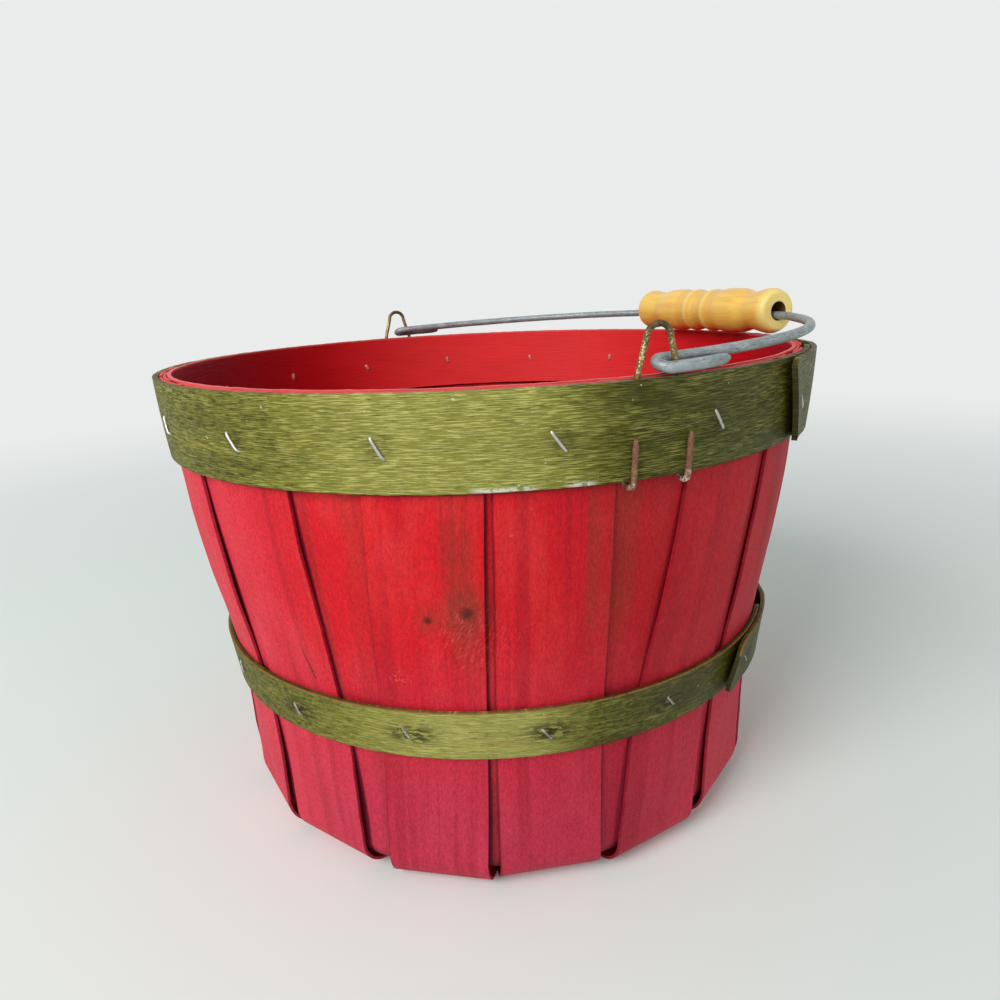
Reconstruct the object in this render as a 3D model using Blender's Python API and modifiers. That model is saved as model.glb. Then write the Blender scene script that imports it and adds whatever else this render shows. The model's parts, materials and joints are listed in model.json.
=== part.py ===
"""Half peck splint basket: crossed veneer strips, three bent hoops, staples, wire ears and a bail.

Metres, +Z up. The origin is the middle of the base on the ground. The ears stand at -Y and +Y,
and the bail lies folded towards +X. Angles run from -Y towards +X.
"""

import math

import bmesh
import bpy
from mathutils import Matrix, Vector

# Overall size
HEIGHT = 0.15875
RIM_DIAMETER = 0.2286
FOOT_DIAMETER = 0.1934
BEND_RADIUS = 0.012
RIM_FLARE = 0.03

# Veneer strips. The shares say how wide the seams at the rim are against each other,
# from the front ear round to the rear one and on round to the front. The foot is twisted
# against the rim, and one stave strip is laid a little crooked on top of that.
SEAM_SHARES = (
    (2.8, 8.5, 3.7, 8.1, 7.2, 3.2, 5.3),
    (4.1, 3.7, 7.8, 3.0, 4.8, 12.0, 0.6),
)
FOOT_TWIST = math.radians(-3.2)
CROOKED_STRIP = 6
CROOKED_TURN = math.radians(1.7)
STAVE_THICKNESS = 0.0009
LAYER_GAP = 0.0003
SEAM_GAP = 0.0020
STAVE_DROP = 0.0006
STAR_MARGIN = 0.0015
SLOPE_MARGIN = 0.004
WIDEST_FACET = math.radians(6.5)

# Hoops
HOOP_GAP = 0.0003
TOP_HOOP_WIDTH = 0.0254
TOP_HOOP_THICKNESS = 0.0017
TOP_LAP_ANGLE = math.radians(26.5)
TOP_LAP_LENGTH = 0.050
LOWER_HOOP_WIDTH = 0.0159
LOWER_HOOP_THICKNESS = 0.0015
LOWER_HOOP_HEIGHT = 0.0514
LOWER_LAP_ANGLE = math.radians(23)
LOWER_LAP_LENGTH = 0.045
LAP_RAMP = 0.022
LAP_END_INSET = 0.003
TOP_HOOP_TIP = 0.0047
LOWER_HOOP_TIP = 0.0065
TIP_NARROWING = 0.42
TIP_STATIONS = (0, 0.12, 0.45, 1)
RIM_BAND_WIDTH = 0.0254
RIM_BAND_THICKNESS = 0.0012
RIM_BAND_BUTT_ANGLE = math.radians(130)
RIM_BAND_BUTT_GAP = 0.001
HOOP_STEP = math.radians(5.625)

# Staples
TOP_STAPLE_CROWN = 0.0072
LOWER_STAPLE_CROWN = 0.0056
STAPLE_WIRE = 0.0009
STAPLE_CORNER = 0.00055
STAPLE_LEAN = math.radians(34)
TOP_STAPLE_SHIFT = math.radians(-2.0)
LOWER_STAPLE_SHIFT = math.radians(-3.3)
STAPLE_HOLE_CLEARANCE = 0.0003
STAPLE_SEAT_GAP = 0.0003
TOP_STAPLE_DROP = 0.0130
LOWER_STAPLE_DROP = 0.0079

# Wire ears
EAR_WIRE = 0.0016
EAR_RIM_SPAN = 0.0120
EAR_HOOK_SPAN = 0.0164
EAR_ARCH_SPAN = 0.0072
EAR_RISE = 0.0132
EAR_CLIP_RISE = 0.0110
EAR_GAP = 0.0003
EAR_STAVE_GAP = 0.0023
EAR_BULGE_HALF_ANGLE = math.radians(6)
EAR_BULGE_FADE = math.radians(8)

# Bail and grip
BAIL_WIRE = 0.0030
GRIP_INSET = 0.0098
BAIL_RIM_GAP = 0.0003
EYE_CLEARANCE = 0.0004
EYE_STRAIGHT = 0.0115
EYE_RETURN = 0.0215
EYE_RETURN_GAP = 0.00035
EYE_DROP = 0.0017
ARM_RADIUS = 0.100
ARM_CORNER_RUN = 0.0155
ARM_CORNER_DROP = 0.0060
CORNER_RADIUS = 0.006
GRIP_LENGTH = 0.0825
GRIP_BORE = 0.0070
GRIP_WIRE_GAP = 0.0003
GRIP_RIM_GAP = 0.0003
GRIP_GROOVE = 0.0149
GRIP_BEAD = 0.0171
GRIP_BEAD_PLACE = 0.0054
GRIP_DIP = 0.0163
GRIP_DIP_PLACE = 0.0094
GRIP_SWELL = 0.0175
GRIP_SWELL_PLACE = 0.0170
GRIP_WAIST = 0.0144
GRIP_WAIST_INSET = 0.0130
GRIP_END = 0.0169
GRIP_CREST_INSET = 0.0038
GRIP_END_EDGE = 0.0126
GRIP_EASE = 0.0004
GRIP_EASE_RUN = 0.0024

# Colours
STAVE_RED = (0.62, 0.035, 0.045, 1)
LINING_RED = (0.50, 0.015, 0.035, 1)
BAND_RED = (0.60, 0.02, 0.03, 1)
HOOP_OLIVE = (0.16, 0.16, 0.03, 1)
STAPLE_STEEL = (0.60, 0.60, 0.58, 1)
EAR_BRONZE = (0.36, 0.27, 0.13, 1)
BAIL_ZINC = (0.42, 0.45, 0.46, 1)
GRIP_WOOD = (0.87, 0.62, 0.24, 1)

STRIPS = len(SEAM_SHARES[0]) + 1
PITCH = math.tau / (2 * STRIPS)
LAYER = STAVE_THICKNESS + LAYER_GAP
STAVE_TOP = HEIGHT - STAVE_DROP
RIM_RADIUS = RIM_DIAMETER / 2 - TOP_HOOP_THICKNESS - HOOP_GAP
FOOT_RADIUS = FOOT_DIAMETER / 2
BAIL_REACH = RIM_DIAMETER / 2 - GRIP_INSET
BEND_START = FOOT_RADIUS - BEND_RADIUS
STAVE_WIDTH = 2 * BEND_START * math.tan(PITCH / 2) - SEAM_GAP
STAR_RADIUS = STAVE_WIDTH / 2 / math.sin(PITCH - CROOKED_TURN / 2) + STAR_MARGIN
SLOPE_END = BEND_START - SLOPE_MARGIN
EAR_BULGE = max(0, EAR_WIRE + 2 * EAR_GAP - LAYER - HOOP_GAP)


def clear_scene():
    for obj in list(bpy.data.objects):
        bpy.data.objects.remove(obj, do_unlink=True)


def collection(name):
    made = bpy.data.collections.new(name)
    bpy.context.scene.collection.children.link(made)
    return made


def material(name, colour, roughness, metallic=0.0):
    made = bpy.data.materials.new(name)
    made.use_nodes = True
    shader = made.node_tree.nodes["Principled BSDF"]
    shader.inputs["Base Color"].default_value = colour
    shader.inputs["Roughness"].default_value = roughness
    shader.inputs["Metallic"].default_value = metallic
    return made


def smoothstep(value):
    value = min(max(value, 0), 1)
    return value * value * (3 - 2 * value)


def outward(angle):
    return Vector((math.sin(angle), -math.cos(angle), 0))


def sideways(angle):
    return Vector((math.cos(angle), math.sin(angle), 0))


def wall_radius(height):
    """Radius of the staves' outer face: upright at the foot, a full S curve, a slight flare at the rim."""
    span = HEIGHT - BEND_RADIUS
    u = min(max((height - BEND_RADIUS) / span, 0), 1)
    return FOOT_RADIUS + (RIM_RADIUS - FOOT_RADIUS) * smoothstep(u) + RIM_FLARE * span * (u**3 - u * u)


def bent_sheet(name, rows, columns, thickness, place, finish, parts):
    """A flat veneer, cut as a grid and given its thickness, then every corner is bent into place."""
    bm = bmesh.new()
    bmesh.ops.create_grid(bm, x_segments=len(rows) - 1, y_segments=len(columns) - 1, size=0.5)
    made = bmesh.ops.extrude_face_region(bm, geom=bm.faces[:])
    inner = {v for v in made["geom"] if isinstance(v, bmesh.types.BMVert)}
    for vertex in bm.verts:
        row = rows[round((vertex.co.x + 0.5) * (len(rows) - 1))]
        column = columns[round((vertex.co.y + 0.5) * (len(columns) - 1))]
        vertex.co = place(row, column, thickness if vertex in inner else 0)
    bmesh.ops.recalc_face_normals(bm, faces=bm.faces)
    mesh = bpy.data.meshes.new(name)
    bm.to_mesh(mesh)
    bm.free()
    mesh.materials.append(finish)
    mesh.shade_smooth()
    mesh.set_sharp_from_angle(angle=math.radians(30))
    obj = bpy.data.objects.new(name, mesh)
    parts.objects.link(obj)
    return obj


def wire(name, points, diameter, sides_level, finish, parts):
    """A round wire along points, with its two cut ends closed."""
    curve = bpy.data.curves.new(name, "CURVE")
    curve.dimensions = "3D"
    curve.bevel_depth = diameter / 2
    curve.bevel_resolution = sides_level
    curve.use_fill_caps = True
    spline = curve.splines.new("POLY")
    spline.points.add(len(points) - 1)
    for knot, point in zip(spline.points, points):
        knot.co = (*point, 1)
    curve.materials.append(finish)
    obj = bpy.data.objects.new(name, curve)
    parts.objects.link(obj)
    return obj


def rounded_path(corners, radii, steps=4):
    """The corners as points, each one but the ends rounded off by its radius."""
    points = [Vector(corners[0])]
    for before, corner, after, radius in zip(corners, corners[1:], corners[2:], radii):
        before, corner, after = Vector(before), Vector(corner), Vector(after)
        into = (corner - before).normalized()
        out = (after - corner).normalized()
        turn = into.angle(out)
        if turn < 1e-4:
            points.append(corner)
            continue
        reach = radius * math.tan(turn / 2)
        start = corner - into * reach
        side = (out - into * into.dot(out)).normalized()
        centre = start + side * radius
        for i in range(steps + 1):
            angle = turn * i / steps
            points.append(centre - side * radius * math.cos(angle) + into * radius * math.sin(angle))
    points.append(Vector(corners[-1]))
    return points


def strip_rows(base_height, round_foot):
    """Stations along one strip, from one rim over the base to the other: side, kind of station, value."""
    bend_end = base_height + BEND_RADIUS
    lower_hoop_top = LOWER_HOOP_HEIGHT + LOWER_HOOP_WIDTH
    top_hoop_foot = HEIGHT - TOP_HOOP_WIDTH
    heights = [
        STAVE_TOP,
        HEIGHT - TOP_HOOP_WIDTH / 2,
        top_hoop_foot,
        (top_hoop_foot + lower_hoop_top) / 2,
        lower_hoop_top,
        LOWER_HOOP_HEIGHT,
        (LOWER_HOOP_HEIGHT + bend_end) / 2,
    ]
    half = [("wall", height) for height in heights]
    half += [("bend", math.radians(angle)) for angle in (90, 60, 30)]
    half += [("ring" if round_foot else "fold", BEND_START)]
    half += [("ring", SLOPE_END), ("ring", STAR_RADIUS)]
    return [(-1, *row) for row in half] + [(1, *row) for row in reversed(half)]


def strip_columns():
    """Shares of the half width across a strip, in facets that follow the round of the wall."""
    facets = math.ceil(STAVE_WIDTH / FOOT_RADIUS / WIDEST_FACET)
    return [-1 + 2 * i / facets for i in range(facets + 1)]


def strip_place(angle, leans, base_level, star_level, wall_level, round_foot):
    """How one strip is bent. Levels count layers: of the base's edge, of the crossing, and of the wall."""
    base_height = base_level * LAYER
    radius = BEND_RADIUS - wall_level * LAYER
    bend_end = base_height + radius

    def base_z(distance):
        share = min(max((SLOPE_END - distance) / (SLOPE_END - STAR_RADIUS), 0), 1)
        return base_height + (star_level * LAYER - base_height) * share

    def place(row, column, depth):
        side, kind, value = row
        across = column * STAVE_WIDTH / 2
        heading = angle if side > 0 else angle + math.pi
        offset = across * side
        if kind in ("ring", "fold"):
            out = value if kind == "fold" else math.sqrt(value * value - across * across)
            spot = outward(heading) * out + sideways(heading) * offset
            spot.z = base_z(math.hypot(out, across)) + depth
            return spot
        if kind == "bend":
            out = BEND_START + (radius - depth) * math.sin(value)
            height = bend_end - (radius - depth) * math.cos(value)
            flatness = 1
        else:
            height = value
            out = wall_radius(height) - wall_level * LAYER - depth
            flatness = smoothstep((LOWER_HOOP_HEIGHT - height) / (LOWER_HOOP_HEIGHT - bend_end))
        if round_foot:
            flatness = 0
        lean = leans[0 if side > 0 else 1]
        lean *= min(max((height - bend_end) / (HEIGHT - bend_end), 0), 1)
        turned = heading + lean + offset / out
        curved = outward(turned) * out
        flat = outward(heading + lean) * out + sideways(heading + lean) * offset
        spot = curved.lerp(flat, flatness)
        spot.z = height
        return spot

    return place


def foot_headings():
    """Which way each side of the stave strips leaves the base, from the front ear round."""
    headings = []
    for k in range(2 * STRIPS):
        crooked = CROOKED_TURN if k % STRIPS == CROOKED_STRIP else 0
        headings.append(PITCH * (k + 0.5) + FOOT_TWIST + crooked)
    return headings


def rim_headings():
    """Where each side of the stave strips ends at the rim.

    The staves beside an ear stay clear of its hooks, and the other seams share the room that is left.
    """
    hoop_foot = HEIGHT - TOP_HOOP_WIDTH
    climb = (hoop_foot - BEND_RADIUS) / (HEIGHT - BEND_RADIUS)
    beside_ear = (STAVE_WIDTH + EAR_HOOK_SPAN + EAR_WIRE) / 2 + EAR_STAVE_GAP
    clear = beside_ear / wall_radius(hoop_foot)
    foot_after = PITCH / 2 + FOOT_TWIST
    foot_before = PITCH / 2 - FOOT_TWIST
    after = foot_after + (clear - foot_after) / climb
    before = foot_before + (clear - foot_before) / climb
    stave = STAVE_WIDTH / wall_radius(STAVE_TOP)
    headings = []
    for half, shares in enumerate(SEAM_SHARES):
        room = math.pi - after - before - stave * len(shares)
        centre = math.pi * half + after
        for share in (*shares, 0):
            headings.append(centre)
            centre += stave + room * share / sum(shares)
    return headings


def veneer_strips(parts, stave_red, lining_red):
    """Eight outer strips and eight lining strips, each one length of veneer from rim to rim."""
    feet = foot_headings()
    leans = [rim - foot for rim, foot in zip(rim_headings(), feet)]
    columns = strip_columns()
    for i in range(STRIPS):
        odd = i % 2
        crossing = i // 2 + odd * STRIPS // 2
        place = strip_place(feet[i], (leans[i], leans[i + STRIPS]), odd, crossing, 0, False)
        rows = strip_rows(odd * LAYER, False)
        bent_sheet(f"stave_strip_{i + 1}", rows, columns, STAVE_THICKNESS, place, stave_red, parts)
        place = strip_place(PITCH * i, (0, 0), 2 + odd, STRIPS + crossing, 1, True)
        rows = strip_rows((2 + odd) * LAYER, True)
        bent_sheet(f"lining_strip_{i + 1}", rows, columns, STAVE_THICKNESS, place, lining_red, parts)


def ear_bulge(angle):
    """How far the top hoop is pushed out where an ear's wire runs behind it."""
    off = abs((angle + math.pi / 2) % math.pi - math.pi / 2)
    return EAR_BULGE * (1 - smoothstep((off - EAR_BULGE_HALF_ANGLE) / EAR_BULGE_FADE))


class LappedHoop:
    """One bent hoop whose outer end lies over its inner end, with the corners of both ends rounded off."""

    def __init__(self, low, width, thickness, lap_angle, lap_length, tip_length, bulged):
        self.middle = low + width / 2
        self.width = width
        self.thickness = thickness
        self.start = lap_angle
        self.bulged = bulged
        radius = wall_radius(self.middle)
        self.lap = lap_length / radius
        self.ramp = LAP_RAMP / radius
        self.tip = tip_length / radius
        self.end = math.tau + self.lap - LAP_END_INSET / radius

    def outer_radius(self, angle, height):
        return self.inner_radius(angle, height) + self.thickness

    def inner_radius(self, angle, height):
        """The hoop lies a thickness further out over its lap, then comes down to the staves."""
        run = (angle - self.start) % math.tau
        return self.radius_at(run, height)

    def radius_at(self, run, height):
        lift = (self.thickness + HOOP_GAP) * (1 - smoothstep((run - self.lap) / self.ramp))
        bulge = ear_bulge(self.start + run) if self.bulged else 0
        return wall_radius(height) + HOOP_GAP + lift + bulge

    def rows(self):
        """Angles past the outer end at which the flat strip is bent."""
        count = math.ceil(self.end / HOOP_STEP)
        even = [self.end * i / count for i in range(1, count)]
        first = [self.tip * share for share in TIP_STATIONS]
        last = [self.end - step for step in reversed(first)]
        clear = first[-1] + first[-2]
        return first + [run for run in even if clear < run < self.end - clear] + last

    def place(self, run, column, depth):
        share = min(run, self.end - run, self.tip) / self.tip
        narrow = 1 - TIP_NARROWING * (1 - math.sqrt(1 - (1 - share) ** 2))
        height = self.middle + column * narrow * self.width / 2
        spot = outward(self.start + run) * (self.radius_at(run, height) + self.thickness - depth)
        spot.z = height
        return spot


def hoops(parts, olive):
    """The two olive hoops outside the staves, each with its lap."""
    top = LappedHoop(
        HEIGHT - TOP_HOOP_WIDTH,
        TOP_HOOP_WIDTH,
        TOP_HOOP_THICKNESS,
        TOP_LAP_ANGLE,
        TOP_LAP_LENGTH,
        TOP_HOOP_TIP,
        True,
    )
    lower = LappedHoop(
        LOWER_HOOP_HEIGHT,
        LOWER_HOOP_WIDTH,
        LOWER_HOOP_THICKNESS,
        LOWER_LAP_ANGLE,
        LOWER_LAP_LENGTH,
        LOWER_HOOP_TIP,
        False,
    )
    edges_and_middle = (-1, 0, 1)
    top_object = bent_sheet("top_hoop", top.rows(), edges_and_middle, top.thickness, top.place, olive, parts)
    lower_object = bent_sheet(
        "lower_hoop", lower.rows(), edges_and_middle, lower.thickness, lower.place, olive, parts
    )
    return top, top_object, lower, lower_object


def rim_band(parts, band_red):
    """The narrow band inside the rim, whose ends butt."""

    def place(angle, height, depth):
        spot = outward(RIM_BAND_BUTT_ANGLE + angle) * (wall_radius(height) - 2 * LAYER - depth)
        spot.z = height
        return spot

    butt = RIM_BAND_BUTT_GAP / RIM_RADIUS
    count = math.ceil(math.tau / HOOP_STEP)
    around = [butt / 2 + (math.tau - butt) * i / count for i in range(count + 1)]
    up = (HEIGHT - RIM_BAND_WIDTH, HEIGHT)
    bent_sheet("rim_band", around, up, RIM_BAND_THICKNESS, place, band_red, parts)


def staple_axes(angle):
    """The crown's direction and the legs' direction at this place on a hoop."""
    across = sideways(angle) * math.sin(STAPLE_LEAN) - Vector((0, 0, math.cos(STAPLE_LEAN)))
    return across, -outward(angle)


def staples(parts, cutters, hoop, hoop_object, crown, height, shift, label, steel):
    """One staple for each outer stave, with its two legs through holes in the hoop."""
    holes = bmesh.new()
    half = (crown - STAPLE_WIRE) / 2
    highest = height + half * math.cos(STAPLE_LEAN) + STAPLE_WIRE / 2
    for i in range(2 * STRIPS):
        angle = PITCH * (i + 0.5) + shift
        across, inward = staple_axes(angle)
        face = hoop.outer_radius(angle, height)
        seat = outward(angle) * (face + STAPLE_SEAT_GAP + STAPLE_WIRE / 2)
        seat.z = height
        depth = face + STAPLE_SEAT_GAP + STAPLE_WIRE / 2 - wall_radius(highest) - HOOP_GAP
        left, right = seat - across * half, seat + across * half
        corners = (left + inward * depth, left, right, right + inward * depth)
        points = rounded_path(corners, (STAPLE_CORNER, STAPLE_CORNER), steps=1)
        wire(f"{label}_staple_{i + 1:02d}", points, STAPLE_WIRE, 1, steel, parts)
        for spot in (left, right):
            middle = spot + inward * depth / 2
            turned = inward.to_track_quat("Z", "Y").to_matrix().to_4x4()
            bmesh.ops.create_cone(
                holes,
                cap_ends=True,
                segments=6,
                radius1=STAPLE_WIRE / 2 + STAPLE_HOLE_CLEARANCE,
                radius2=STAPLE_WIRE / 2 + STAPLE_HOLE_CLEARANCE,
                depth=depth * 2 + STAPLE_WIRE,
                matrix=Matrix.Translation(middle) @ turned,
            )
    mesh = bpy.data.meshes.new(f"{label}_staple_holes")
    holes.to_mesh(mesh)
    holes.free()
    cutter = bpy.data.objects.new(f"{label}_staple_holes", mesh)
    cutter.hide_render = True
    cutter.display_type = "WIRE"
    cutters.objects.link(cutter)
    cut = hoop_object.modifiers.new("Staple holes", "BOOLEAN")
    cut.operation = "DIFFERENCE"
    cut.object = cutter


def ear_path(top_hoop):
    """Half of an ear, from the arch's crown down behind the hoop to the clip: sideways, outwards, up."""
    wire_radius = EAR_WIRE / 2
    arch_radius = EAR_ARCH_SPAN / 2
    rim_side = EAR_RIM_SPAN / 2
    hook_side = EAR_HOOK_SPAN / 2
    shoulder = HEIGHT + EAR_RISE - wire_radius - arch_radius
    foot = HEIGHT - TOP_HOOP_WIDTH
    half_way = (HEIGHT + foot) / 2
    clip_top = foot + EAR_CLIP_RISE

    def behind(height):
        return wall_radius(height) - LAYER + EAR_GAP + wire_radius

    def front(height):
        return top_hoop.outer_radius(0, height) + EAR_GAP + wire_radius

    points = []
    for i in range(6):
        angle = math.pi / 2 * i / 5
        side = arch_radius * math.sin(angle)
        points.append((side, behind(HEIGHT), shoulder + arch_radius * math.cos(angle)))
    points += [
        ((arch_radius + rim_side) / 2, behind(HEIGHT), (shoulder + HEIGHT) / 2),
        (rim_side, behind(HEIGHT), HEIGHT),
        ((rim_side + hook_side) / 2, behind(half_way), half_way),
        (hook_side, behind(foot), foot),
    ]
    turn = (front(foot) - behind(foot)) / 2
    for i in range(1, 6):
        angle = math.pi * i / 6
        out = behind(foot) + turn - turn * math.cos(angle)
        points.append((hook_side, out, foot - turn * math.sin(angle)))
    points += [(hook_side, front(foot), foot), (hook_side, front(clip_top), clip_top)]
    return points


def ears(parts, top_hoop, bronze):
    """Each ear is one wire: an arch over the rim, legs behind the top hoop, its ends hooked up before it."""
    half = ear_path(top_hoop)
    mirrored = [(-side, out, up) for side, out, up in reversed(half[1:])]
    for name, heading in (("front_ear", 0.0), ("rear_ear", math.pi)):
        points = []
        for side, out, up in mirrored + half:
            turned = heading + side / out
            points.append(outward(turned) * out + Vector((0, 0, up)))
        wire(name, points, EAR_WIRE, 2, bronze, parts)


def ear_station():
    """How far each ear's wire stands from the middle of the basket at the rim."""
    return wall_radius(HEIGHT) - LAYER + EAR_GAP + EAR_WIRE / 2


def arc_between(start, end, radius, steps):
    """Points on the circular arc from start to end that bows away from the basket's middle."""
    chord = end - start
    middle = (start + end) / 2
    across = Vector((chord.y, -chord.x)).normalized()
    if across.x > 0:
        across = -across
    rise = math.sqrt(radius * radius - (chord.length / 2) ** 2)
    centre = middle + across * rise
    first = math.atan2(start.y - centre.y, start.x - centre.x)
    last = math.atan2(end.y - centre.y, end.x - centre.x)
    angles = [first + (last - first) * i / steps for i in range(steps + 1)]
    return [centre + Vector((math.cos(angle), math.sin(angle))) * radius for angle in angles]


def bail_half():
    """Half of the bail: along its hinge line, out from it and above it, from the eye's cut end.

    The eye is twisted, so that its cut end lies below the arm.
    """
    eye_radius = (EAR_WIRE + 2 * EYE_CLEARANCE + BAIL_WIRE) / 2
    station = ear_station()
    arm_side = station - eye_radius
    return_side = station + eye_radius
    arm_start = Vector((arm_side, EYE_STRAIGHT))
    arm_end = Vector((GRIP_LENGTH / 2 + ARM_CORNER_RUN, BAIL_REACH - ARM_CORNER_DROP))
    arm = arc_between(arm_start, arm_end, ARM_RADIUS, 12)
    beside = min(arm, key=lambda point: abs(point.y - EYE_RETURN))
    return_spacing = math.sqrt((BAIL_WIRE + EYE_RETURN_GAP) ** 2 - EYE_DROP**2)
    rise = EYE_DROP / 2
    points = [
        Vector((beside.x + return_spacing, EYE_RETURN, -rise)),
        Vector((return_side, EYE_STRAIGHT, -rise)),
    ]
    for i in range(9):
        angle = math.pi * i / 8
        along = station + eye_radius * math.cos(angle)
        points.append(Vector((along, eye_radius - eye_radius * math.sin(angle), -rise * math.cos(angle))))
    heading = (arm[-1] - arm[-2]).normalized()
    corner = arm[-1] + heading * ((BAIL_REACH - arm[-1].y) / heading.y)
    run = [arm[-2].to_3d(), corner.to_3d(), Vector((0, BAIL_REACH, 0))]
    line = arm[:-1] + rounded_path(run, (CORNER_RADIUS,))[1:-1]
    return points + [Vector((point.x, point.y, rise)) for point in line]


def grip_outline():
    """Half of the turned grip's outline, from the middle groove to the end: along, radius."""
    groove = GRIP_GROOVE / 2
    bead = GRIP_BEAD / 2
    dip = GRIP_DIP / 2
    swell = GRIP_SWELL / 2
    end = GRIP_LENGTH / 2
    waist = end - GRIP_WAIST_INSET
    crest = end - GRIP_CREST_INSET
    return [
        (0, groove),
        (GRIP_BEAD_PLACE / 4, groove + GRIP_EASE / 2),
        (GRIP_BEAD_PLACE * 3 / 4, bead - GRIP_EASE / 2),
        (GRIP_BEAD_PLACE, bead),
        ((GRIP_BEAD_PLACE + GRIP_DIP_PLACE) / 2, bead - GRIP_EASE / 2),
        (GRIP_DIP_PLACE, dip),
        ((GRIP_DIP_PLACE + GRIP_SWELL_PLACE) / 2, swell - GRIP_EASE / 2),
        (GRIP_SWELL_PLACE, swell),
        ((GRIP_SWELL_PLACE + waist) / 2, swell - GRIP_EASE),
        (waist, GRIP_WAIST / 2),
        ((waist + crest) / 2, GRIP_END / 2 - GRIP_EASE),
        (crest, GRIP_END / 2),
        (end - GRIP_EASE_RUN / 2, GRIP_END / 2 - GRIP_EASE),
        (end, GRIP_END_EDGE / 2),
    ]


def bail_and_grip(parts, zinc, wood):
    """The bail folded down to +X until its grip meets the rim, on an empty at the hinge."""
    hinge_height = HEIGHT + BAIL_RIM_GAP + BAIL_WIRE / 2 + EYE_DROP / 2
    wire_drop = (GRIP_BORE - BAIL_WIRE) / 2 - GRIP_WIRE_GAP
    grip_height = HEIGHT + GRIP_RIM_GAP + GRIP_SWELL / 2
    grip_rise = EYE_DROP / 2 + wire_drop
    rest = math.asin((grip_height - grip_rise - hinge_height) / BAIL_REACH)
    pivot = bpy.data.objects.new("bail_pivot", None)
    pivot.location = (0, 0, hinge_height)
    pivot.rotation_euler = (0, -rest, 0)
    parts.objects.link(pivot)

    half = bail_half()
    points = [Vector((out, -along, above)) for along, out, above in half]
    points += [Vector((out, along, above)) for along, out, above in reversed(half)]
    bail = wire("bail", points, BAIL_WIRE, 2, zinc, parts)
    bail.parent = pivot

    half_outline = grip_outline()
    outline = [(-along, radius) for along, radius in reversed(half_outline[1:])] + half_outline
    bm = bmesh.new()
    ring = [bm.verts.new((radius, 0, -along)) for along, radius in outline]
    ring += [bm.verts.new((GRIP_BORE / 2, 0, -along)) for along, _ in (outline[-1], outline[0])]
    for a, b in zip(ring, ring[1:] + ring[:1]):
        bm.edges.new((a, b))
    mesh = bpy.data.meshes.new("grip")
    bm.to_mesh(mesh)
    bm.free()
    mesh.materials.append(wood)
    grip = bpy.data.objects.new("grip", mesh)
    parts.objects.link(grip)
    turn = grip.modifiers.new("Turned", "SCREW")
    turn.axis = "Z"
    turn.steps = turn.render_steps = 20
    turn.use_merge_vertices = True
    turn.merge_threshold = 0.00005
    turn.use_smooth_shade = True
    grip.parent = pivot
    grip.location = (BAIL_REACH, 0, grip_rise)
    grip.rotation_euler = (math.pi / 2, 0, 0)


def main():
    clear_scene()
    parts = collection("half_peck_basket")
    cutters = collection("cutters")
    cutters.hide_render = True
    stave_red = material("stained stave", STAVE_RED, 0.6)
    lining_red = material("stained lining", LINING_RED, 0.6)
    band_red = material("stained band", BAND_RED, 0.55)
    olive = material("olive hoop", HOOP_OLIVE, 0.6)
    steel = material("staple steel", STAPLE_STEEL, 0.35, 1.0)
    bronze = material("ear wire", EAR_BRONZE, 0.5, 1.0)
    zinc = material("galvanised wire", BAIL_ZINC, 0.55, 0.8)
    wood = material("turned wood", GRIP_WOOD, 0.45)

    veneer_strips(parts, stave_red, lining_red)
    top, top_object, lower, lower_object = hoops(parts, olive)
    rim_band(parts, band_red)
    at_top = (TOP_STAPLE_CROWN, HEIGHT - TOP_STAPLE_DROP, TOP_STAPLE_SHIFT)
    lower_height = LOWER_HOOP_HEIGHT + LOWER_HOOP_WIDTH - LOWER_STAPLE_DROP
    at_lower = (LOWER_STAPLE_CROWN, lower_height, LOWER_STAPLE_SHIFT)
    staples(parts, cutters, top, top_object, *at_top, "top", steel)
    staples(parts, cutters, lower, lower_object, *at_lower, "lower", steel)
    ears(parts, top, bronze)
    bail_and_grip(parts, zinc, wood)


main()
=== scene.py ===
"""Looks of the half peck splint basket, laid out as an add-on and run as a script.

It loads the packed frame and puts a finished piece in the place of each veneer, hoop, wire and staple.
Metres, +Z up. Angles run from -Y, where the front ear stands, towards +X, where the bail lies folded.
"""

import json
import math

import bmesh
import bpy
from mathutils import Euler, Matrix, Vector, kdtree, noise

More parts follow.
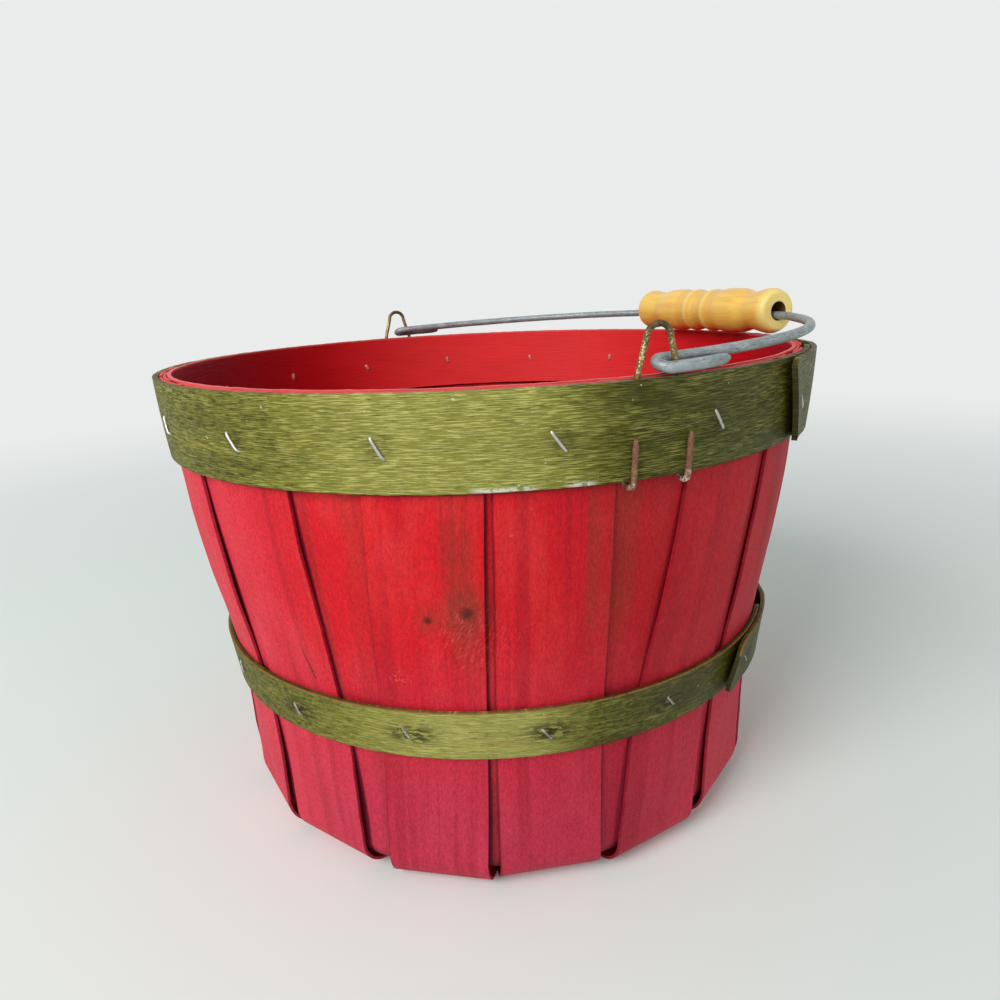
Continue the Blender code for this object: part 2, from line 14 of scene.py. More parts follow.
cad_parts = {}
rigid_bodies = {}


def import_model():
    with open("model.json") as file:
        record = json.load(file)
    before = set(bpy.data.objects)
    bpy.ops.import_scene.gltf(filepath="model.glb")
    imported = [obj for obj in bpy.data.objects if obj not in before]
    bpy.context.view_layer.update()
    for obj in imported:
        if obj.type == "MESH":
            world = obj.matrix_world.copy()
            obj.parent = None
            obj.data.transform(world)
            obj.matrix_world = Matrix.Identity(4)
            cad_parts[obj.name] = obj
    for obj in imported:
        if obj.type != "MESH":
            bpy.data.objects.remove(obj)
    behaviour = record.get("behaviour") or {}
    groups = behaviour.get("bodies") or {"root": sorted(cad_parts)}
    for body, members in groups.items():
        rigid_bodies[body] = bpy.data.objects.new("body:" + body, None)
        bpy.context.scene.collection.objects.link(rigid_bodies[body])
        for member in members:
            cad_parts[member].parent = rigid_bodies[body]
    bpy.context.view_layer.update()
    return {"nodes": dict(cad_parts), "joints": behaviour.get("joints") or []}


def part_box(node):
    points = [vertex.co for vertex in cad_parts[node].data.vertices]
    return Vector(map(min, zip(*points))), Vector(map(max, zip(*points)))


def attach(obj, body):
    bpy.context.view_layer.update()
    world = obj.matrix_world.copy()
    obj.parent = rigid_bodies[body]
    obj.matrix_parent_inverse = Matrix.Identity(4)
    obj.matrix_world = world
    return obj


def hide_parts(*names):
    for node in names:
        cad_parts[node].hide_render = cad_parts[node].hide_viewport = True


bl_info = {
    "name": "Splint Basket Looks",
    "version": (1, 0, 0),
    "blender": (4, 5, 0),
    "location": "3D View > Sidebar > Basket",
    "description": "Finishes the packed splint basket and lights it on a plain floor",
    "category": "Object",
}

MM = 1000
BASKET = "basket"
STRIPS = 8
STATIONS = 2 * STRIPS
PITCH = math.tau / STATIONS
QUARTER = math.pi / 2
BASE_LEVEL = 0.006
STRIP_CELLS = (260, 22)
HOOP_CELLS = (420, 16)
STAPLE_STEPS = 25
CURVE_STEPS = 4
ROUND_STEPS = 96
SAME_PLACE = 1e-6
RIM_SLICE = 1e-4
EASED_ENDS = (0.55, 0.86, 1.0)
LAP_SHORT = 0.003
BUTT = 0.00004

for startup in list(bpy.data.objects):
    bpy.data.objects.remove(startup, do_unlink=True)
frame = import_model()
TOP_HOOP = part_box("top_hoop")
LOWER_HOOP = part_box("lower_hoop")
RIM_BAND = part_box("rim_band")
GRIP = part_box("grip")
GRIP_CENTRE = (GRIP[0] + GRIP[1]) / 2


def linear(screen):
    """A screen colour from 0 to 255, as the linear colour that shaders take."""
    shares = [value / 255 for value in screen]
    return tuple(v / 12.92 if v <= 0.04045 else ((v + 0.055) / 1.055) ** 2.4 for v in shares)


def amount(name, default, about, **settings):
    return bpy.props.FloatProperty(name=name, description=about, default=default, min=0, **settings)


def length(name, default, about):
    return amount(name, default, about, unit="LENGTH", precision=5)


def angle(name, degrees, about):
    settings = {"default": math.radians(degrees), "unit": "ROTATION"}
    return bpy.props.FloatProperty(name=name, description=about, **settings)


def colour(name, screen, about):
    settings = {"default": linear(screen), "size": 3, "min": 0, "max": 1, "subtype": "COLOR"}
    return bpy.props.FloatVectorProperty(name=name, description=about, **settings)


class VeneerSettings(bpy.types.PropertyGroup):
    """Sizes of the strips and of the wall that they are bent to."""

    height: length("Height", TOP_HOOP[1].z, "Height of the rim above the floor")
    rim_radius: length("Rim radius", 0.1123, "The staves' outer face at the rim")
    foot_radius: length("Foot radius", 0.0967, "The staves' outer face at the foot")
    bend_radius: length("Bend radius", 0.012, "Outer radius of the bend from base to wall")
    rim_flare: length("Rim flare", 0.03, "How fully the wall sweeps out below the rim")
    width: length("Strip width", 0.03170, "Width of a strip")
    thickness: length("Strip thickness", 0.0009, "Thickness of the veneer")
    layer: length("Layer", 0.0012, "One layer with its gap")
    drop: length("Strip end drop", 0.0001, "How far the strips end below the rim")
    ragged: length("Ragged ends", 0.0004, "How far the strips' cut ends stray")
    star_radius: length("Star radius", 0.04446, "Radius inside which all the strips are crossed")
    slope_margin: length("Slope margin", 0.004, "Level ring between the crossing's slope and the bend")
    puff: length("Puff", 0.0009, "How far a strip bellies out between the hoops at most")
    wander: length("Edge wander", 0.0005, "How far a cut edge strays from straight")


class HoopSettings(bpy.types.PropertyGroup):
    """Sizes of the two hoops and the rim band."""

    gap: length("Seat gap", 0.0003, "Gap between a hoop and what it lies on")
    top_low: length("Top hoop's lower edge", TOP_HOOP[0].z, "Height of the top hoop's lower edge")
    top_high: length("Top hoop's upper edge", TOP_HOOP[1].z, "Height of the top hoop's upper edge")
    top_thickness: length("Top hoop thickness", 0.0017, "Thickness of the top hoop")
    top_lap: length("Top lap", 0.050, "Length of the top hoop's lap")
    top_lap_angle: angle("Top lap angle", 26.5, "Where the top hoop's outer end lies")
    top_slant: angle("Top lap slant", 2.0, "How far the top hoop's outer end is cut aslant")
    top_tip: length("Top tip", 0.0047, "Length over which that end is rounded off")
    lower_low: length("Lower hoop's lower edge", LOWER_HOOP[0].z, "Height of the lower hoop's lower edge")
    lower_high: length("Lower hoop's upper edge", LOWER_HOOP[1].z, "Height of the lower hoop's upper edge")
    lower_thickness: length("Lower hoop thickness", 0.0015, "Thickness of the lower hoop")
    lower_lap: length("Lower lap", 0.045, "Length of the lower hoop's lap")
    lower_lap_angle: angle("Lower lap angle", 23, "Where the lower hoop's outer end lies")
    lower_slant: angle("Lower lap slant", math.degrees(-0.02), "How far the lower hoop's end is cut aslant")
    lower_tip: length("Lower tip", 0.0065, "Length over which that end is rounded off")
    ramp: length("Lap ramp", 0.022, "Length over which a lap comes down to the staves")
    band_low: length("Rim band's lower edge", RIM_BAND[0].z, "Height of the rim band's lower edge")
    band_thickness: length("Rim band thickness", 0.0012, "Thickness of the rim band")
    band_butt_angle: angle("Band butt angle", 130, "Where the ends of the rim band meet")
    bulge: length("Ear bulge", 0.0007, "How far the top hoop is pushed out over an ear's wire")


class WireSettings(bpy.types.PropertyGroup):
    """Sizes of the staples, the ears and the bail."""

    staple_wire: length("Staple wire", 0.0009, "Diameter of the staples' wire")
    top_crown: length("Top crown", 0.0072, "Length of a top staple's crown")
    lower_crown: length("Lower crown", 0.0052, "Length of a lower staple's crown")
    staple_lean: angle("Staple lean", 34, "How far the crowns lean from upright")
    top_shift: angle("Top shift", -2.0, "Turn of the top staples from the staves' middles")
    lower_shift: angle("Lower shift", -3.3, "Turn of the lower staples from the staves' middles")
    top_drop: length("Top staple drop", 0.0130, "Height of the rim above the top staples")
    lower_drop: length("Lower staple drop", 0.0079, "Height of the hoop's edge above the lower staples")
    ear_wire: length("Ear wire", 0.0016, "Diameter of the ears' wire")
    ear_arch: length("Ear arch", 0.0072, "Width of an ear's arch between its wire's middles")
    ear_rim: length("Ear at the rim", 0.0120, "Width of an ear at the rim")
    ear_hook: length("Ear hooks", 0.0164, "Distance between an ear's hooks")
    ear_rise: length("Ear rise", 0.0132, "Height of an ear above the rim")
    ear_clip: length("Ear clip", 0.0110, "Length of the hooked ends on the hoop's face")
    bail_wire: length("Bail wire", 0.0030, "Diameter of the bail's wire")
    eye_clearance: length("Eye clearance", 0.0004, "Play of the ear's wire in the bail's eye")
    eye_straight: length("Eye straight", 0.0115, "Where the eye's sides start to close in")
    eye_return: length("Eye return", 0.0215, "Where the eye's cut end lies")
    eye_drop: length("Eye drop", 0.0017, "How far the eye's cut end lies below the arm")
    eye_gap: length("Eye gap", 0.00035, "Gap between the eye's cut end and the arm")
    arm_radius: length("Arm radius", 0.100, "Radius of the bail's arms")
    corner_radius: length("Corner radius", 0.006, "Radius of the bend into the grip")
    corner_run: length("Corner run", 0.0155, "How far the arm's corner lies beyond the grip's end")
    corner_drop: length("Corner drop", 0.0060, "How far the arm ends short of the grip's axis")


class GripSettings(bpy.types.PropertyGroup):
    """Sizes of the turned grip."""

    length: length("Grip length", GRIP[1].y - GRIP[0].y, "Length of the grip")
    bore: length("Grip bore", 0.0070, "Diameter of the hole through it")
    swell: length("Swell", 0.0175, "Largest diameter")
    bead: length("Bead", 0.0171, "Diameter of the two beads beside the middle groove")
    groove: length("Groove", 0.0149, "Diameter in the middle groove")
    dip: length("Dip", 0.0163, "Diameter in the shallow dips outside the beads")
    waist: length("Waist", 0.0144, "Diameter of the waist before each end")
    end: length("End", 0.0169, "Diameter of the bead at each end")
    end_edge: length("End edge", 0.0126, "Diameter of the end faces")
    end_round: length("End round", 0.0038, "Length over which the end beads are rounded off")


class StainSettings(bpy.types.PropertyGroup):
    """Colours of the stains, the bare wood and the metals, some of which also paint light and shade."""

    red: colour("Stave red", (206, 20, 34), "Main stain of the staves")
    warm: colour("Warm red", (206, 46, 34), "Where the red stain took thinly")
    rose: colour("Rose", (184, 50, 76), "Stain near the foot")
    # Also the painted sheen on the staves' left side, towards the key lamp, and a rose tone on their right
    # side.
    faded: colour("Faded rose", (214, 58, 76), "Stain on the side that faced the light")
    # Also the painted shade on the right side of the staves.
    crimson: colour("Crimson", (146, 16, 32), "Growth bands in the staves")
    brown: colour("Brown red", (150, 46, 36), "Wood showing through round knots and between staves")
    # Also the painted shade in the lining's seams and at its foot, under the hoops and on the rim band's far
    # side.
    maroon: colour("Maroon", (84, 6, 38), "Stain pooled along the cut edges")
    inner: colour("Inner red", (200, 8, 16), "Stain inside the basket")
    inner_lit: colour("Lit inner face", (238, 58, 60), "The rim band where light falls on it")
    knot: colour("Knot", (78, 30, 22), "Knots and slits")
    edge_pink: colour("Edge pink", (240, 98, 96), "Sanded upper edges and scuffs")
    olive: colour("Olive", (113, 112, 30), "Main stain of the hoops")
    # The dark and pale olives also paint the hoops' shade and sheen.
    olive_dark: colour("Dark olive", (58, 58, 8), "Fibres of the hoops that took more stain")
    olive_pale: colour("Pale olive", (184, 180, 104), "Fibres of the hoops that took less stain")
    rust_stain: colour("Rust stain", (150, 112, 56), "Rusty patches on the hoops")
    edge_tan: colour("Tan edge", (164, 122, 76), "Upper edges of the hoops, where the stain took badly")
    bare: colour("Bare wood", (206, 210, 186), "Chipped edges of the hoops")
    # Also the painted shade on the hoops' outer end faces, and the dark line along their lower edges.
    soot: colour("Soot", (40, 36, 16), "Marks that the staples left")
    worn_steel: colour("Worn steel", (112, 98, 82), "Staples that have lost their shine")
    steel: colour("Steel", (188, 186, 178), "Staples")
    zinc: colour("Zinc", (142, 149, 152), "The bail's coating")
    zinc_pale: colour("Pale zinc", (196, 206, 208), "Bloom on the bail's coating")
    zinc_dark: colour("Dark zinc", (52, 56, 56), "Scrapes on the bail")
    brass: colour("Brass", (146, 122, 74), "The ears' wire")
    brass_dark: colour("Dark brass", (70, 56, 34), "Tarnish on the ears")
    # Painted glints on the ears' legs.
    brass_bright: colour("Bright brass", (238, 222, 170), "Rubbed spots on the ears")
    rust: colour("Rust", (138, 84, 60), "Rust on the ears' hooks")
    grip: colour("Grip wood", (252, 208, 96), "Turned wood of the grip")
    # Also the painted shade in the grip's dips and groove.
    grip_dark: colour("Dark grip wood", (236, 174, 74), "Growth rings of the grip")
    # Also the painted highlight on the beads' crests.
    grip_end: colour("Grip end grain", (250, 228, 140), "The grip's end faces")
    bore: colour("Bore", (74, 44, 22), "Inside of the grip's bore")


class StudioSettings(bpy.types.PropertyGroup):
    """The floor, the lamps and the camera."""

    floor: colour("Floor", (240, 250, 246), "Colour of the floor")
    sky: colour("Backdrop", (234, 236, 235), "Plain background beyond the floor")
    sky_light: amount("Sky light", 0.46, "Even light from all round")
    key_watts: amount("Key light", 18.0, "Power of the large lamp", unit="POWER")
    fill_watts: amount("Fill light", 2.5, "Power of the second lamp", unit="POWER")
    camera_place: bpy.props.FloatVectorProperty(
        name="Camera",
        description="Where the camera stands",
        default=(-0.1093, -0.2660, 0.1812),
        size=3,
        subtype="XYZ",
        unit="LENGTH",
    )
    camera_heading: angle("Camera heading", 23.14, "Direction of view, from +Y towards +X")
    camera_pitch: angle("Camera pitch", 15.84, "How far the camera looks down")
    camera_roll: angle("Camera roll", -2.629, "Turn of the camera about its view")
    lens: amount("Lens", 27.04, "Focal length in mm")


class Wire:
    """An output of a node in an expression: arithmetic on it adds Math nodes to its tree."""

    def __init__(self, graph, socket):
        self.graph = graph
        self.socket = socket

    def math(self, operation, *others):
        return self.graph.math(operation, self, *others)

    def vector(self, operation, *others, output=0):
        return self.graph.math(operation, self, *others, kind="ShaderNodeVectorMath", output=output)

    def __add__(self, other):
        return self.math("ADD", other)

    def __mul__(self, other):
        return self.math("MULTIPLY", other)

    __radd__ = __add__
    __rmul__ = __mul__

    def __sub__(self, other):
        return self.math("SUBTRACT", other)

    def __rsub__(self, other):
        return self.graph.math("SUBTRACT", other, self)

    def __truediv__(self, other):
        return self.math("DIVIDE", other)

    def __pow__(self, other):
        return self.math("POWER", other)

    def __neg__(self):
        return self * -1

    def __abs__(self):
        return self.math("ABSOLUTE")

    def __gt__(self, other):
        return self.math("GREATER_THAN", other)

    def sine(self):
        return self.math("SINE")

    def cosine(self):
        return self.math("COSINE")

    def clamped(self, low=0.0, high=1.0):
        return self.math("MAXIMUM", low).math("MINIMUM", high)

    def step(self, low, high):
        """0 at low and before, 1 at high and after, smooth between; low may be above high."""
        values = {"Value": self, "From Min": low, "From Max": high}
        return self.graph.node("ShaderNodeMapRange", {"interpolation_type": "SMOOTHSTEP"}, values)

    def parts(self):
        """The three numbers of a vector."""
        split = self.graph.node("ShaderNodeSeparateXYZ", inputs={0: self}).socket.node
        return [Wire(self.graph, output) for output in split.outputs]

    def scaled(self, *factors):
        """The three numbers of a vector, each times its factor."""
        return self.vector("MULTIPLY", factors).parts()

    def away(self, point):
        """Distance in mm from a point, or from what another Wire gives."""
        place = point if isinstance(point, Wire) else tuple(point)
        return self.vector("DISTANCE", place, output="Value") * MM


class Graph:
    """A node tree, and the one way that nodes are added to it."""

    def __init__(self, tree):
        self.tree = tree
        tree.nodes.clear()

    def node(self, kind, settings=None, inputs=None, output=0):
        made = self.tree.nodes.new(kind)
        for name, value in (settings or {}).items():
            setattr(made, name, value)
        for key, value in (inputs or {}).items():
            if isinstance(value, Wire):
                self.tree.links.new(value.socket, made.inputs[key])
            else:
                made.inputs[key].default_value = value
        return Wire(self, made.outputs[output]) if made.outputs else made

    def math(self, operation, *values, kind="ShaderNodeMath", output=0):
        return self.node(kind, {"operation": operation}, dict(enumerate(values)), output)

    def vector(self, x, y, z):
        return self.node("ShaderNodeCombineXYZ", inputs={0: x, 1: y, 2: z})

    def noise(self, place, detail=2.0, roughness=0.5, distortion=0.0, scale=1.0):
        values = {"Vector": place, "Scale": scale, "Detail": detail, "Roughness": roughness}
        return self.node("ShaderNodeTexNoise", inputs=values | {"Distortion": distortion})

    def grain(self, x, y, z, *settings):
        """Noise at a place given as three numbers, each already times the noise's scale."""
        return self.noise(self.vector(x, y, z), *settings)

    def mix(self, share, first, second, blend="MIX"):
        """A colour mix. A plain colour is three numbers, and a number alone is a grey."""
        settings = {"data_type": "RGBA", "blend_type": blend, "clamp_result": True}
        values = [(*v, 1) if isinstance(v, tuple) else v for v in (first, second)]
        return self.node("ShaderNodeMix", settings, {0: share, 6: values[0], 7: values[1]}, 2)


def clamped(value):
    return value.clamped() if isinstance(value, Wire) else min(max(value, 0), 1)


def smooth(value):
    held = clamped(value)
    return held * held * (3 - 2 * held)


def plain(settings, name):
    """A colour of the settings as a plain tuple."""
    return tuple(getattr(settings, name))


class Paint(Graph):
    """The nodes of a new material, whose colour is laid on in coats."""

    def __init__(self, name, colours):
        self.material = bpy.data.materials.new(name)
        self.material.use_nodes = True
        super().__init__(self.material.node_tree)
        self.colours = colours
        self.place = self.node("ShaderNodeTexCoord", output="Object")
        self.colour = None

    def attribute(self, name, output="Vector"):
        return self.node("ShaderNodeAttribute", {"attribute_name": name}, output=output)

    def ground(self, share, first, second):
        """The first coat, which has some of a second colour in it."""
        self.colour = self.mix(share, plain(self.colours, first), plain(self.colours, second))

    def coat(self, share, name):
        self.colour = self.mix(share, self.colour, plain(self.colours, name))

    def shade(self, level):
        self.colour = self.mix(1.0, self.colour, level, "MULTIPLY")

    def turn(self):
        """Degrees round the basket from the front ear."""
        x, y, _ = self.place.parts()
        return x.math("ARCTAN2", y * -1) * (180 / math.pi)

    def close(self, shader):
        self.node("ShaderNodeOutputMaterial", inputs={"Surface": shader})
        return self.material

    def finish(self, roughness, height, relief, metallic=0.0, specular=0.5, coat=0.0):
        """The Principled shader with a Bump node, and the finished material."""
        bump = {"Height": height, "Distance": relief, "Strength": 1.0}
        values = {
            "Base Color": self.colour,
            "Roughness": roughness,
            "Metallic": metallic,
            "Normal": self.node("ShaderNodeBump", inputs=bump),
            "Coat Weight": coat,
            "Specular IOR Level": specular,
        }
        return self.close(self.node("ShaderNodeBsdfPrincipled", inputs=values))


def modifier_graph(name, ints=(), vectors=(), floats=()):
    """A new modifier tree with named inputs, and the Wire of each input and of its material."""
    tree = bpy.data.node_groups.new(name, "GeometryNodeTree")
    graph = Graph(tree)
    kinds = {"Int": ints, "Vector": vectors, "Float": floats, "Material": ("Material",)}
    for kind, labels in kinds.items():
        for label in labels:
            tree.interface.new_socket(label, in_out="INPUT", socket_type="NodeSocket" + kind)
    tree.interface.new_socket("Geometry", in_out="OUTPUT", socket_type="NodeSocketGeometry")
    source = tree.nodes.new("NodeGroupInput")
    return graph, {output.name: Wire(graph, output) for output in source.outputs if output.name}


def close_graph(graph, geometry, material):
    """Ends a modifier tree with Realize Instances and Set Material."""
    real = graph.node("GeometryNodeRealizeInstances", inputs={0: geometry})
    painted = graph.node("GeometryNodeSetMaterial", inputs={"Geometry": real, "Material": material})
    graph.node("NodeGroupOutput", inputs={0: painted})
    return graph.tree


def linked(name, data):
    """A new object in the scene."""
    made = bpy.data.objects.new(name, data)
    bpy.context.scene.collection.objects.link(made)
    return made


def evaluated_mesh(made):
    """What an object comes out as, its modifiers or its curve's bevel worked out, as a mesh."""
    bpy.context.view_layer.update()
    return bpy.data.meshes.new_from_object(made.evaluated_get(bpy.context.evaluated_depsgraph_get()))


def mesh_from(name, bm, material):
    mesh = bpy.data.meshes.new(name)
    bm.to_mesh(mesh)
    bm.free()
    mesh.materials.append(material)
    return mesh


def grown(name, tree, values, sharp=40):
    """The plain mesh object that a modifier tree makes with these inputs."""
    made = linked(name, bpy.data.meshes.new(name))
    modifier = made.modifiers.new("Grown", "NODES")
    modifier.node_group = tree
    for item in tree.interface.items_tree:
        if item.in_out == "INPUT":
            modifier[item.identifier] = values[item.name]
    mesh = evaluated_mesh(made)
    made.modifiers.clear()
    made.data = mesh
    mesh.shade_smooth()
    mesh.set_sharp_from_angle(angle=math.radians(sharp))
    if not mesh.polygons:
        raise RuntimeError(f"{name} came out empty")
    return made


def wall_radius(veneer, height):
    """Radius of the staves' outer face at a height, as a number or as nodes."""
    span = veneer.height - veneer.bend_radius
    u = clamped((height - veneer.bend_radius) / span)
    rise = veneer.rim_radius - veneer.foot_radius
    return veneer.foot_radius + rise * smooth(u) + veneer.rim_flare * span * (u * u * (u - 1))


def outward(turn):
    return Vector((math.sin(turn), -math.cos(turn), 0))


def on_wall(veneer, degrees, height):
    """The point of the wall at an angle and a height."""
    return outward(math.radians(degrees)) * wall_radius(veneer, height) + Vector((0, 0, height))


def unit_box(graph, rows, columns):
    """A box of size 1 with rows along X and columns along Y, and the parts of each point's place."""
    cells = {"Size": (1, 1, 1), "Vertices X": rows, "Vertices Y": columns, "Vertices Z": 2}
    return graph.node("GeometryNodeMeshCube", inputs=cells), graph.node("GeometryNodeInputPosition").parts()


def marked(graph, geometry, **marks):
    """Stores numbers on the points under the names that materials read."""
    for name, value in marks.items():
        kind = {"data_type": "FLOAT" if name == "tone" else "FLOAT_VECTOR", "domain": "POINT"}
        inputs = {"Geometry": geometry, "Name": name, "Value": value}
        geometry = graph.node("GeometryNodeStoreNamedAttribute", kind, inputs)
    return geometry


def moved(graph, geometry, place):
    return graph.node("GeometryNodeSetPosition", inputs={"Geometry": geometry, "Position": place})


def on_ring(graph, turn, out, up):
    """A place by its angle round the basket, its distance from the axis and its height."""
    return graph.vector(turn.sine() * out, turn.cosine() * out * -1, up)


HOOP_MARGIN = 0.002
BELLY_RISE, BELLY_FALL = 0.025, 0.018
SKIRT_LOW, SKIRT_RISE = 0.014, 0.012


def strip_tree(veneer, hoop):
    """A straight strip of veneer, bent up from the crossed base into the wall on both sides."""
    graph, given = modifier_graph(
        "Bent strip",
        ints=("Base level", "Star level", "Wall level"),
        vectors=("Before ahead", "Before behind", "After ahead", "After behind"),
        floats=("Heading", "Lean ahead", "Lean behind", "Round foot", "Puff", "Seed"),
    )
    seed = given["Seed"]
    bend_start = veneer.foot_radius - veneer.bend_radius
    slope_end = bend_start - veneer.slope_margin
    base = given["Base level"] * veneer.layer
    radius = veneer.bend_radius - given["Wall level"] * veneer.layer
    bend_length = radius * QUARTER
    bend_end = base + radius
    half = bend_start + bend_length + (veneer.height - veneer.drop) - bend_end

    sheet, (x, y, z) = unit_box(graph, *STRIP_CELLS)
    side = (x > 0) * 2 - 1
    ragged = graph.grain(y * 9, side, seed) * veneer.ragged
    along = x * 2 * (half - ragged)
    run = abs(along)
    reach = abs(y * 2) ** 6
    edge = graph.grain(along * 45, (y > 0) * 5, seed, 3.0) - 0.5
    across = y * veneer.width * (1 - reach * 0.006) - edge * reach * veneer.wander * 2 * y
    depth = (z + 0.5) * veneer.thickness

    flat_run = run.math("MINIMUM", bend_start)
    bend = ((run - bend_start) / radius).clamped(0.0, QUARTER)
    rise = (run - bend_start - bend_length).math("MAXIMUM", 0.0)
    from_middle = (flat_run * flat_run + across * across).math("SQRT")
    climb = ((slope_end - from_middle) / (slope_end - veneer.star_radius)).clamped()
    level = base + (given["Star level"] * veneer.layer - base) * climb
    inner_radius = radius - depth
    up = level + radius - inner_radius * bend.cosine() + rise

    belly = smooth((up - (hoop.lower_high + HOOP_MARGIN)) / BELLY_RISE)
    belly = belly * smooth((hoop.top_low - HOOP_MARGIN - up) / BELLY_FALL)
    skirt = smooth((up - SKIRT_LOW) / SKIRT_RISE) * smooth((hoop.lower_low - HOOP_MARGIN - up) / SKIRT_RISE)
    swell = graph.grain(along * 14, y * 2.2, seed, 1.0)
    loose = (belly + skirt) * swell.step(0.25, 0.75) * given["Puff"]
    out = flat_run + inner_radius * bend.sine() + wall_radius(veneer, up) - veneer.foot_radius + loose

    on_outer_foot = smooth((hoop.lower_low - up) / (hoop.lower_low - bend_end))
    on_round_foot = 1 - smooth((run - veneer.star_radius) / (bend_start - veneer.star_radius))
    flatness = on_outer_foot + (on_round_foot - on_outer_foot) * given["Round foot"]
    climbed = ((up - bend_end) / (veneer.height - bend_end)).clamped()
    lean = given["Lean behind"] + (given["Lean ahead"] - given["Lean behind"]) * (x > 0)
    lean = lean * climbed
    heading = given["Heading"] + (1 - side) * QUARTER + lean
    offset = across * side
    turned = heading + offset / out.math("MAXIMUM", 0.001)
    sine, cosine = heading.sine(), heading.cosine()
    round_x = turned.sine() * out
    round_y = turned.cosine() * out * -1
    flat_x = sine * out + cosine * offset
    flat_y = sine * offset - cosine * out
    place = graph.vector(round_x + (flat_x - round_x) * flatness, round_y + (flat_y - round_y) * flatness, up)

    covers = []
    for label in ("Before", "After"):
        ends = {0: x > 0, 4: given[f"{label} behind"], 5: given[f"{label} ahead"]}
        beside, lean_beside, _ = graph.node("ShaderNodeMix", {"data_type": "VECTOR"}, ends, 1).parts()
        covers.append((beside + lean_beside * climbed - lean) * out - offset)
    half_cover = veneer.width / 2
    bare = graph.vector(-covers[0] - half_cover, covers[1] - half_cover, 0.0)
    sheet = marked(graph, sheet, strip=graph.vector(across, along, z + 0.5), bare=bare, tone=seed)
    return close_graph(graph, moved(graph, sheet, place), given["Material"])


def hoop_lift(given, run):
    """How far a hoop lies over its own inner end, at an angle past its outer end."""
    return given["Lift"] * (1 - smooth((run - given["Lap"]) / given["Ramp"]))


def ear_bulge(hoop, turn):
    """How far the top hoop is pushed out over an ear's wire, as nodes."""
    off = abs((turn + QUARTER).math("FLOORED_MODULO", math.pi) - QUARTER)
    return hoop.bulge * (1 - smooth((off - math.radians(6)) / math.radians(8)))


SLANT_RUN, SPRING_RUN = 0.3, 0.14
SWAY = 0.0006
HOOP_WANDER = 0.0003


def hoop_tree(veneer, hoop):
    """A straight hoop bent round the wall, with its outer end lapped over its inner one."""
    floats = ("Low", "Width", "Thickness", "Seat", "Start", "End", "Lap", "Ramp", "Lift", "Tip", "Narrowing")
    graph, given = modifier_graph("Bent hoop", floats=(*floats, "Slant", "Over ears", "Spring", "Seed"))
    seed, width, tip = given["Seed"], given["Width"], given["Tip"]
    sheet, (x, y, z) = unit_box(graph, *HOOP_CELLS)
    run = (x + 0.5) * given["End"]
    to_end = run.math("MINIMUM", given["End"] - run).math("MINIMUM", tip) / tip
    blunt = 1 - (1 - (1 - to_end) ** 2).math("MAXIMUM", 0.0).math("SQRT")
    narrow = 1 - given["Narrowing"] * blunt
    turn = given["Start"] + run + given["Slant"] * 2 * y * ((SLANT_RUN - run) / SLANT_RUN).clamped()
    rough = graph.grain(run * 30, (y > 0) * 7, seed, 4.0, 0.65) - 0.5
    edge = rough * HOOP_WANDER * 2 * abs(y * 2) ** 8
    up = given["Low"] + width * (0.5 - y * narrow) + edge
    spring = given["Spring"] * ((SPRING_RUN - run) / SPRING_RUN).clamped() ** 2
    sway = (graph.grain(turn * 1.4, 0.0, seed, 1.0) - 0.5) * SWAY
    bulge = ear_bulge(hoop, turn) * given["Over ears"]
    seat = wall_radius(veneer, up) + given["Seat"] + hoop_lift(given, run)
    out = seat + bulge + spring + sway.math("MAXIMUM", 0.0) + given["Thickness"] * (0.5 - z)
    strip = graph.vector(run * veneer.rim_radius, width * (0.5 - y), z + 0.5)
    sheet = marked(graph, sheet, strip=strip, tone=seed)
    return close_graph(graph, moved(graph, sheet, on_ring(graph, turn, out, up)), given["Material"])


STAPLE_BOW = 0.0003
HEIGHT_PLAY = 0.0006
TURN_PLAY = 0.01
SHOULDER = 0.35


